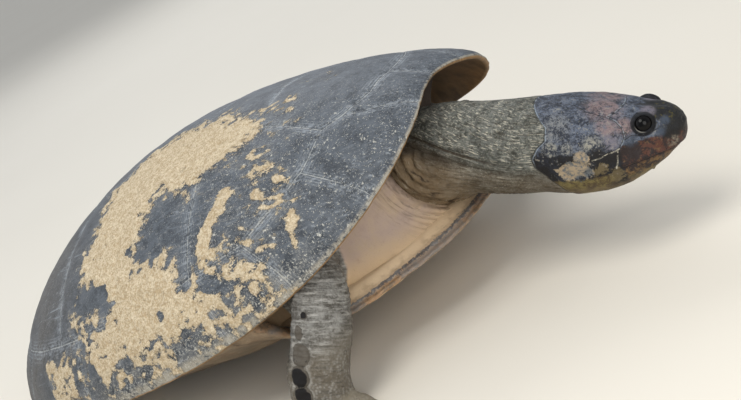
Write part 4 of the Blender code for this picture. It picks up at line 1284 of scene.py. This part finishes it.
def skinMaterial():
    look = skinLook
    material, wire, shader = newMaterial("turtleSkin", Specular_IOR_Level=0.26)
    head, ahead, aside, up, folded = headPlace(wire)
    row = wire.spot()
    x, y, z = row.split()
    mottle, broad = row.speckle(0.014, 6, 0.68), row.speckle(0.045, 3)
    fine, dust = row.speckle(0.0026, 4, 0.7), row.speckle(0.0012, 2, 0.7)
    neckZone, foreZone = wire.field("neckZone"), wire.field("foreZone")
    hindZone, footZone = wire.field("hindZone"), wire.field("footZone")
    limb = foreZone.top(hindZone)

    def lay(u, v, stretch):
        return wire.join(u, v * stretch, 0.0)

    # wrinkles run along the neck, and in arcs over the sack at its root
    turn, along = wire.field("neckTurn"), wire.field("neckAlong")
    arc, arcAhead = wire.field("arcRadius"), wire.field("arcAhead")
    arcMask = wire.field("arcShare") * arc.rise(0.024, 0.034)
    lines = lay(turn, along, 0.10)
    arcs = lay(arc, arcAhead, 0.16)
    crease = lines.speckle(0.0022, 5, 0.68, 0.3)
    crease = crease + (arcs.speckle(0.0026, 5, 0.65, 0.3) - crease) * arcMask
    wale = lines.speckle(0.0052, 3, 0.5, 0.2)
    wale = wale + (arcs.speckle(0.0060, 3, 0.5, 0.2) - wale) * arcMask
    lowTurn = turn.rise(0.022, 0.046)

    # belly and armpit skin: smooth, pale, a little pink, warmer by the plastron
    belly = (broad * 0.6 + mottle * 0.4).rise(0.38, 0.62).paint(look["belly"], look["bellyPink"])
    belly = (z.rise(0.104, 0.078) * 0.8).paint(belly, look["bellyWarm"])
    belly = (mottle.rise(0.52, 0.75) * 0.22 + dust.rise(0.62, 0.72) * 0.3).paint(belly, look["neckLow"])
    # painted shade: dark lines in the folds that arc over the sack
    arcLine = arcs.speckle(0.0030, 4, 0.6, 0.2).rise(0.48, 0.34) * arc.rise(0.100, 0.066)
    belly = (arcLine * 0.5).paint(belly, look["creaseShade"])
    # neck: grey-olive on top, brown low down and in the sack, painted shade in the creases, ridges paler with
    # dust and a painted highlight, and dusty grains
    lowSide = (lowTurn * along.rise(0.19, 0.10) * 0.85).top(lowTurn * 0.45).top(arcMask)
    neck = (mottle * 0.5 + fine * 0.5).rise(0.38, 0.60).paint(look["neckDark"], look["neckTop"])
    neck = (lowSide * 0.80).paint(neck, look["neckLow"])
    # painted shade in the creases, and on the ridges pale dust with a painted highlight
    neck = (crease.rise(0.50, 0.36) * (0.40 + lowSide * 0.55)).paint(neck, look["creaseShade"])
    neck = (crease.rise(0.56, 0.70) * (0.22 + lowSide * 0.30)).paint(neck, look["dust"])
    flecks = lay(turn, along, 0.15).speckle(0.0012, 3, 0.7).rise(0.55, 0.62) * mottle.rise(0.34, 0.56)
    flecks = flecks * turn.rise(0.034, 0.020)
    grains = (dust * 0.6 + fine * 0.4).rise(0.56, 0.63) * (1 - lowSide * 0.75)
    grains = (grains * broad.rise(0.34, 0.60) * 0.55).top(flecks)
    neck = (grains * 0.78).paint(neck, look["dust"])
    # painted shade: a dark line down the long fold along the side, and the shaded hollow under it
    creaseShade = (turn - 0.0243).line(0.0019) * along.rise(0.186, 0.150) * (0.55 + mottle * 0.6)
    hollow = (turn - 0.0330).line(0.0075) * along.rise(0.150, 0.105)
    neck = (creaseShade * 0.85).top(hollow * 0.55).low(0.9).paint(neck, look["creaseShade"])
    # legs: grey, fine wrinkles across, a net of small scales, painted shade in the creases and a painted
    # highlight on the ridges higher up
    lean = x * legLean[0] - abs(y) * legLean[1] + z * legLean[2]
    hoop = wire.join(x * 0.14, y * 0.14, lean).speckle(0.0026, 5, 0.65, 0.25)
    net = row.cells(0.0030).rise(0.62, 0.25)
    leg = (mottle * 0.6 + fine * 0.4).rise(0.36, 0.60).paint(look["legDark"], look["leg"])
    leg = (z.rise(0.084, 0.060) * 0.72).paint(leg, look["legMid"])
    # painted shade in the creases, painted highlight on the ridges higher up
    leg = (hoop.rise(0.47, 0.36) * 0.55).paint(leg, look["legDark"])
    leg = (hoop.rise(0.51, 0.62) * z.rise(0.055, 0.082) * 0.55).paint(leg, look["legPale"])
    leg = (net * z.rise(0.075, 0.045) * mottle.rise(0.35, 0.6) * 0.28).paint(leg, look["legPale"])
    leg = (footZone * 0.55).paint(leg, look["web"])
    big = wire.field("bigScale")
    leg = (big.rise(-0.36, -0.14) * mottle.rise(0.40, 0.60) * 0.35).paint(leg, look["legPale"])
    uneven = big + (mottle - 0.5) * 0.5 + (fine - 0.5) * 0.25
    leg = (uneven.rise(-0.04, 0.06) * 0.85).paint(leg, look["scaleGrey"])
    leg = (big + (mottle - 0.5) * 0.40 + (fine - 0.5) * 0.2).rise(0.14, 0.22).paint(leg, look["scale"])

    colour = neckZone.rise(0.35, 0.65).paint(belly, neck)
    colour = (limb + (mottle - 0.5) * 0.5).rise(0.25, 0.75).paint(colour, leg)
    # painted shade: skin in the shade of the shell and rim is painted near-black
    inShade = wire.field("inShade")
    colour = (inShade * 0.95).paint(colour, look["hollow"])

    # head plates: slate, finely freckled and blotched
    def patch(name):
        best = None
        for place, outer, inner, *strength in headPatches[name]:
            mask = folded.away(place).rise(outer, inner)
            if strength:
                mask = mask * strength[0]
            best = mask if best is None else best.top(mask)
        return best

    freckle = head.speckle(0.0019, 4, 0.8) * 0.6 + mottle * 0.4
    blots = head.speckle(0.0070, 5, 0.80, 0.4)
    patchy = head.speckle(0.011, 5, 0.7, 0.6)
    plate = (freckle * 0.5 + blots * 0.5).rise(0.445, 0.555).paint(look["plateDeep"], look["plate"])
    # pink patches, lighter on top of the head with a painted wet sheen
    pinkSheen = patch("pinkSheen") * (blots * 0.5 + patchy * 0.5).rise(0.40, 0.56)
    plate = (pinkSheen * freckle.rise(0.36, 0.52) * 0.85).paint(plate, look["platePinkSheen"])
    olive = patch("olive") * (blots * 0.45 + freckle * 0.55).rise(0.46, 0.545)
    plate = (olive * 0.80).paint(plate, look["plateOlive"])
    plate = (patch("temple") * blots.rise(0.36, 0.52) * 0.8).paint(plate, look["lilac"])
    plate = (blots.rise(0.585, 0.64) * 0.45).paint(plate, look["plateOlive"])
    plate = (dust.rise(0.60, 0.68) * 0.55).paint(plate, look["plateOlive"])
    # lower cheek: black bands, the pale drum with a cream tongue over it, olive and yellow along the jaw
    drumAhead, drumUp = headSet["tympanum"]
    sizeAhead, sizeUp = headSet["tympanumSize"]
    ragged = head.speckle(0.008, 4, 0.65) - 0.5
    rough = head.speckle(0.0035, 4, 0.75) - 0.5
    drumX, drumZ = (ahead - drumAhead) / sizeAhead, (up - drumUp) / sizeUp
    disc = (drumX * drumX + drumZ * drumZ) ** 0.5
    edgeUp = 0.0105 - ahead.rise(0.055, 0.080) * 0.004
    below = (edgeUp - up + ragged * 0.016 + rough * 0.008).rise(-0.0015, 0.0015) * ahead.rise(0.084, 0.078)
    cheek = (mottle * 0.5 + rough * 0.5 + 0.25).rise(0.44, 0.66).paint(look["blotch"], look["plateDeep"])
    lowCheek = patch("cheek")
    lowCheek = (lowCheek + (blots - 0.5) * 3.0 + rough * 1.6).rise(0.45, 0.75) * lowCheek.rise(0.0, 0.2)
    cheek = (lowCheek * 0.65).paint(cheek, look["throat"])
    drum = (blots * 0.5 + fine * 0.5).rise(0.43, 0.53).paint(look["drumGrey"], look["cream"])
    drum = (patch("drum") * (rough + 0.5).rise(0.36, 0.5)).paint(drum, look["drumGrey"])
    drum = ((rough + ragged).rise(0.03, 0.14) * 0.55).paint(drum, look["drumGrey"])
    tongue = patch("tongue")
    pale = (disc + ragged * 2.4 + rough * 2.2).rise(1.04, 0.80)
    pale = pale.top((tongue + rough * 3.0 + ragged * 2.0).rise(0.42, 0.70))
    cheek = (pale * 0.92).paint(cheek, drum)
    yellowBand = (up + ragged * 0.010 + rough * 0.006).rise(-0.0145, -0.0175) * ahead.rise(0.075, 0.060)
    yellow = (mottle * 0.5 + rough * 0.5 + 0.25).rise(0.42, 0.62).paint(look["brown"], look["yellow"])
    cheek = (yellowBand * 0.92).paint(cheek, yellow)
    face = below.paint(plate, cheek)
    # jaws: dark maroon behind, red further on, ochre under the mouth
    mouth = mouthGap(ahead, up)
    sheath = (0.0078 - up + ragged * 0.008 + rough * 0.004).rise(-0.001, 0.0015)
    sheath = sheath * (ahead + ragged * 0.008).rise(0.0775, 0.0805)
    redder = patch("redder")
    lively = head.speckle(0.0055, 5, 0.75, 0.4) + redder * 0.09 - patch("duller") * 0.10
    jaw = lively.rise(0.49, 0.61).paint(look["redDeep"], look["red"])
    jaw = ((rough + 0.5).rise(0.56, 0.63) * lively.rise(0.42, 0.56) * 0.6).paint(jaw, look["ochre"])
    jaw = (patch("lip") * (rough + 0.5).rise(0.42, 0.56) * 0.8).paint(jaw, look["tan"])
    lower = (lively + rough * 0.25).rise(0.43, 0.60).paint(look["redDeep"], look["ochre"])
    lower = (up.rise(-0.019, -0.026) * mottle.rise(0.38, 0.6) * 0.6).paint(lower, look["yellow"])
    jaw = (mouth + ragged * 0.004).rise(0.001, -0.004).paint(jaw, lower)
    face = (sheath * 0.94).paint(face, jaw)
    # wet dark snout; blue-grey under and before the eye and on the snout, the colour of wet skin and in part
    # a painted reflection
    blue = patch("wetSheen")
    tip = (ahead + ragged * 0.020).rise(0.1110, 0.1160) * (up + ragged * 0.012).rise(-0.001, 0.003)
    bridge = (ahead + ragged * 0.030).rise(0.099, 0.106) * (up + ragged * 0.012).rise(0.0175, 0.0205)
    crown = (ahead + ragged * 0.040).rise(0.093, 0.100) * (aside + ragged * 0.012).rise(0.0090, 0.0060)
    crown = crown * up.rise(0.010, 0.016)
    snout = tip.top(bridge).top(crown)
    face = (snout * 0.95).paint(face, look["snout"])
    face = (blue * (patchy * 0.6 + fine * 0.4).rise(0.38, 0.52) * 0.85).paint(face, look["wetSheen"])
    moss = (head.speckle(0.0036, 3, 0.6) * 0.7 + dust * 0.3).rise(0.545, 0.60)
    moss = moss * ahead.rise(0.103, 0.109) * up.rise(0.010, 0.019)
    face = (moss * 0.65).paint(face, look["moss"])
    gash = mouth.line(0.0009) * ahead.rise(0.066, 0.078) * (rough + 0.5).rise(0.38, 0.5)
    face = (gash * 0.7).paint(face, look["blotch"])
    # seams between plates: a dark cut, and on some a broken pale edge beside it, which on the pale kind is a
    # painted highlight
    for kind, lowest, start, across, reachAlong in seamSegments():
        t = folded.dot(tuple(reachAlong)) - float(start @ reachAlong)
        gap = folded.dot(tuple(across)) - float(start @ across) + rough * 0.0011
        stretch = t.rise(-0.04, -0.01) * t.rise(1.04, 1.01) * up.rise(lowest - 0.001, lowest)
        face = (gap.line(0.00062) * stretch * 0.70).paint(face, look["blotch"])
        if kind in seamEdges:
            tint, wide, strength = seamEdges[kind]
            edge = (gap - 0.0006).line(wide) * stretch * (freckle * 0.5 + rough * 0.5 + 0.25).rise(0.44, 0.54)
            face = (edge * strength).paint(face, look[tint])
    # eyelids: black, with a pale ring low round the opening, and a lilac brow that is partly a painted
    # highlight on its bulge
    offset, depth, beside = eyePlace(folded)
    front = depth.rise(-0.002, 0.001)
    lidMask = (beside + ragged * 0.0020).rise(headSet["lid"] + 0.0006, headSet["lid"] - 0.0010) * front
    browTintAndHighlight = patch("browTintAndHighlight") * (blots * 0.5 + fine * 0.5).rise(0.38, 0.52)
    face = (browTintAndHighlight * 0.8).paint(face, look["lilac"])
    lid = (fine * 0.6 + rough * 0.4 + 0.2).rise(0.50, 0.64).paint(look["lid"], look["lidPale"])
    lid = beside.rise(0.0094, 0.0084).paint(lid, look["lid"])
    face = (lidMask * 0.92).paint(face, lid)
    slant = offset.dot((-0.58, 0.0, -0.81))
    ring = (beside - (headSet["opening"] + 0.0006)).line(0.00055)
    ring = ring * front * slant.rise(0.0, 0.0050) * 0.85
    face = (ring * (0.45 + freckle.rise(0.36, 0.5) * 0.55)).paint(face, look["lidRing"])

    shieldEdge = wire.field("shield")
    onHead = shieldEdge.rise(-0.0004, 0.0004)
    throat = (up + ragged * 0.008).rise(-0.024, -0.031)
    colour = onHead.paint(colour, face)
    throat = throat * onHead * 0.75
    colour = throat.paint(colour, mottle.rise(0.35, 0.6).paint(look["brown"], look["throat"]))
    # painted highlight: a pale line just inside the plates' rear edge, with painted shadow behind it
    edgeLine = (shieldEdge + rough * 0.001 - 0.0006).line(0.0009) * up.rise(-0.002, 0.010)
    edgeLine = edgeLine * (freckle * 0.5 + rough * 0.5 + 0.25).rise(0.42, 0.54)
    colour = (edgeLine * 0.60).paint(colour, look["seamHighlight"])
    shadowLine = (shieldEdge + 0.0008).line(0.0010) * up.rise(0.036, 0.020)
    colour = (shadowLine * 0.70).paint(colour, look["blotch"])

    skinHeight = fine * 0.00030 + dust * 0.00014
    calm = 1 - onHead
    neckHeight = crease * 0.0024 + wale * 0.0018 + dust * 0.0004
    bellyHeight = (1 - neckZone.top(limb).low(1.0)) * crease * 0.0005
    legHeight = hoop * 0.0014 + net * 0.0004
    legPart = limb * (1 - big.rise(-0.1, 0.1)) * legHeight
    height = skinHeight + neckZone * calm * (1 - limb) * neckHeight + bellyHeight + legPart
    height = height + onHead * (freckle * 0.0007 + blots * (0.0006 + ahead.rise(0.104, 0.118) * 0.0008))
    wetness = snout.top(sheath * 0.6) * onHead
    gloss = 0.66 - onHead * 0.14 + fine * 0.14 + grains * 0.2 - wetness * 0.14
    gloss = gloss + lidMask * 0.25 + inShade * 0.3
    feed(shader, Base_Color=colour, Roughness=gloss.low(0.95), Normal=height.bump())
    return material


# eyes

eyeLook = {"iris": (0.005, 0.004, 0.004), "irisRim": (0.002, 0.002, 0.002), "pupil": (0.001, 0.001, 0.001),
           "white": (0.110, 0.105, 0.090), "pupilSize": 0.0036, "irisSize": 0.0070}


def buildEye(name, side, material):
    flip = Vector((1, side, 1))
    axis, centre = Vector(headSet["gaze"]).normalized() * flip, Vector(headSet["eye"]) * flip
    radius = headSet["eyeRadius"] - 0.0002
    bm = bmesh.new()
    bmesh.ops.create_uvsphere(bm, u_segments=64, v_segments=40, radius=radius)
    for vert in bm.verts:
        lean = max(vert.co.z / radius, 0.0)
        vert.co.z += 0.0009 * max(lean - 0.62, 0.0) / 0.38     # the clear front bulges a little
    turn = Vector((0, 0, 1)).rotation_difference(axis).to_matrix().to_4x4()
    bmesh.ops.transform(bm, matrix=headFrame @ Matrix.Translation(centre) @ turn, verts=bm.verts)
    bmesh.ops.recalc_face_normals(bm, faces=bm.faces)
    linkPiece(name, meshOf(bm, name), material, ["eye_" + ("left" if side > 0 else "right")])


def eyeMaterial():
    look = eyeLook
    material, wire, shader = newMaterial("wetEye", Specular_IOR_Level=0.10, Coat_Weight=0.12,
                                         Coat_Roughness=0.04)
    offset, _, beside = eyePlace(headPlace(wire)[4])
    fibres = offset.speckle(0.0012, 4, 0.7)
    colour = fibres.rise(0.35, 0.7).paint(look["irisRim"], look["iris"])
    pupil, iris = look["pupilSize"], look["irisSize"]
    colour = beside.rise(pupil + 0.0005, pupil - 0.0003).paint(colour, look["pupil"])
    colour = beside.rise(iris, iris + 0.0006).paint(colour, look["white"])
    feed(shader, Base_Color=colour, Roughness=0.13 + fibres * 0.08, Normal=(fibres * 0.00003).bump())
    return material


# claws

clawSet = {"sides": 14, "rings": 9, "radius": 0.0034, "embed": 0.0050, "sag": 0.0010,
           "rootUp": 0.0045, "tall": 1.18, "low": 0.72, "floorGap": 0.0002}
clawLook = {"dark": (0.022, 0.018, 0.014), "horn": (0.085, 0.068, 0.050), "streak": (0.190, 0.160, 0.115),
            "worn": (0.300, 0.250, 0.180)}


def buildClaw(end, hand, k, material):
    cs = clawSet
    name = "%s_claw_%s_%d" % (end, hand, k)
    root, tip = clawEnds(name, end + "foot_" + hand)
    heading = unit((tip - root) * [1, 1, 0])
    start = root - heading * cs["embed"]
    start[2] = max(start[2], cs["rootUp"])
    span = np.linalg.norm((tip - start)[:2])
    aside = np.array([-heading[1], heading[0], 0.0])
    bm = bmesh.new()
    bmesh.ops.create_circle(bm, cap_ends=True, segments=cs["sides"], radius=1.0)
    order = {v: math.atan2(v.co.y, v.co.x) for v in bm.verts}

    def ringPoint(angle, share):
        thin = cs["radius"] * (1 - 0.86 * share ** 1.7)
        centre = start + heading * (span * share)
        centre[2] = start[2] * (1 - share) + tip[2] * share + cs["sag"] * math.sin(math.pi * share)
        tall = thin * (cs["tall"] if math.sin(angle) > 0 else cs["low"])
        return Vector(centre + aside * (thin * math.cos(angle)) + np.array([0, 0, tall * math.sin(angle)]))

    for vert, angle in order.items():
        vert.co = ringPoint(angle, 0.0)
    edges = list(bm.edges)
    for step in range(1, cs["rings"] + 1):
        before = order
        out = bmesh.ops.extrude_edge_only(bm, edges=edges)["geom"]
        fresh = [g for g in out if isinstance(g, bmesh.types.BMVert)]
        order = {v: before[min(before, key=lambda old: (old.co - v.co).length)] for v in fresh}
        for vert, angle in order.items():
            vert.co = ringPoint(angle, step / cs["rings"])
        edges = [g for g in out if isinstance(g, bmesh.types.BMEdge)
                 and g.verts[0] in order and g.verts[1] in order]
    bmesh.ops.pointmerge(bm, verts=list(order), merge_co=Vector(tip))
    bmesh.ops.recalc_face_normals(bm, faces=bm.faces)
    for vert in bm.verts:
        vert.co.z = max(vert.co.z, cs["floorGap"])
    linkPiece("claw_%s_%s_%d" % (end, hand, k), meshOf(bm, name), material, [name])


def clawMaterial():
    look = clawLook
    material, wire, shader = newMaterial("clawHorn")
    row = wire.spot()
    z = row.split()[2]
    fine, streak = row.speckle(0.0014, 4, 0.6), row.spot(scale=(0.3, 0.3, 1), kind="POINT").speckle(0.0012, 3)
    colour = fine.rise(0.35, 0.65).paint(look["dark"], look["horn"])
    colour = (streak.rise(0.55, 0.7) * 0.5).paint(colour, look["streak"])
    colour = (z.rise(0.0035, 0.0008) * 0.5).paint(colour, look["worn"])
    height = streak * 0.0002 + fine * 0.0001
    feed(shader, Base_Color=colour, Roughness=0.34 + fine * 0.25, Normal=height.bump())
    return material


# floor, light and camera

stageSet = {
    "floorSize": 40.0, "floor": (0.680, 0.640, 0.560), "floorPale": (0.710, 0.670, 0.590),
    "glow": (0.90, 0.94, 1.0, 1.0), "glowStrength": 0.60, "lampAim": (0.02, 0, 0.08),
}


def buildStage():
    bm = bmesh.new()
    bmesh.ops.create_grid(bm, x_segments=8, y_segments=8, size=stageSet["floorSize"])
    floor = placed("floor", meshOf(bm, "floor"))
    material, wire, shader = newMaterial("plainFloor", Roughness=0.85)
    soft = wire.spot().speckle(0.5, 2)
    feed(shader, Base_Color=soft.paint(stageSet["floor"], stageSet["floorPale"]))
    floor.data.materials.append(material)


lightSet = (
    # name, place, size, watts, colour
    ("key", (0.30, -0.95, 2.20), 1.4, 29, (1.0, 0.97, 0.92)),
    ("front", (1.60, -1.05, 0.74), 1.3, 16, (1.0, 0.97, 0.93)),
    ("fill", (-1.50, -1.10, 1.30), 2.2, 6, (0.92, 0.96, 1.0)),
    ("back", (-2.20, 2.50, 3.00), 3.0, 60, (0.95, 0.97, 1.0)),
)


def buildLights():
    aim = Vector(stageSet["lampAim"])
    for name, place, size, watts, colour in lightSet:
        data = bpy.data.lights.new(name, "AREA")
        data.shape, data.size, data.energy, data.color = "DISK", size, watts, colour
        lamp = placed(name, data)
        lamp.location = place
        lamp.rotation_euler = (aim - Vector(place)).to_track_quat("-Z", "Y").to_euler()
    world = bpy.data.worlds.new("room")
    world.use_nodes = True
    glow = world.node_tree.nodes["Background"].inputs
    glow["Color"].default_value = stageSet["glow"]
    glow["Strength"].default_value = stageSet["glowStrength"]
    scene.world = world
    scene.view_settings.view_transform = "Standard"


def buildCamera():
    right, up = Vector(cameraSet["right"]).normalized(), Vector(cameraSet["up"]).normalized()
    back = right.cross(up)
    pose = Matrix([[right[k], up[k], back[k]] for k in range(3)]).to_4x4()
    pose.translation = Vector(cameraSet["place"])
    data = bpy.data.cameras.new("view")
    data.lens, data.sensor_width = cameraSet["lens"], 36.0
    scene.camera = placed("view", data)
    scene.camera.matrix_world = pose


buildCamera()
buildLights()
buildStage()
print("stage ready")
buildCarapace(shellMaterial())
print("carapace ready")
buildPlastron(plateMaterial())
print("plastron ready")
buildSkin(skinMaterial())
print("skin ready")
wetEye = eyeMaterial()
buildEye("eyeLeft", 1, wetEye)
buildEye("eyeRight", -1, wetEye)
horn = clawMaterial()
for end, hand, k in clawNames:
    buildClaw(end, hand, k, horn)
print("eyes and claws ready")

bpy.context.view_layer.update()
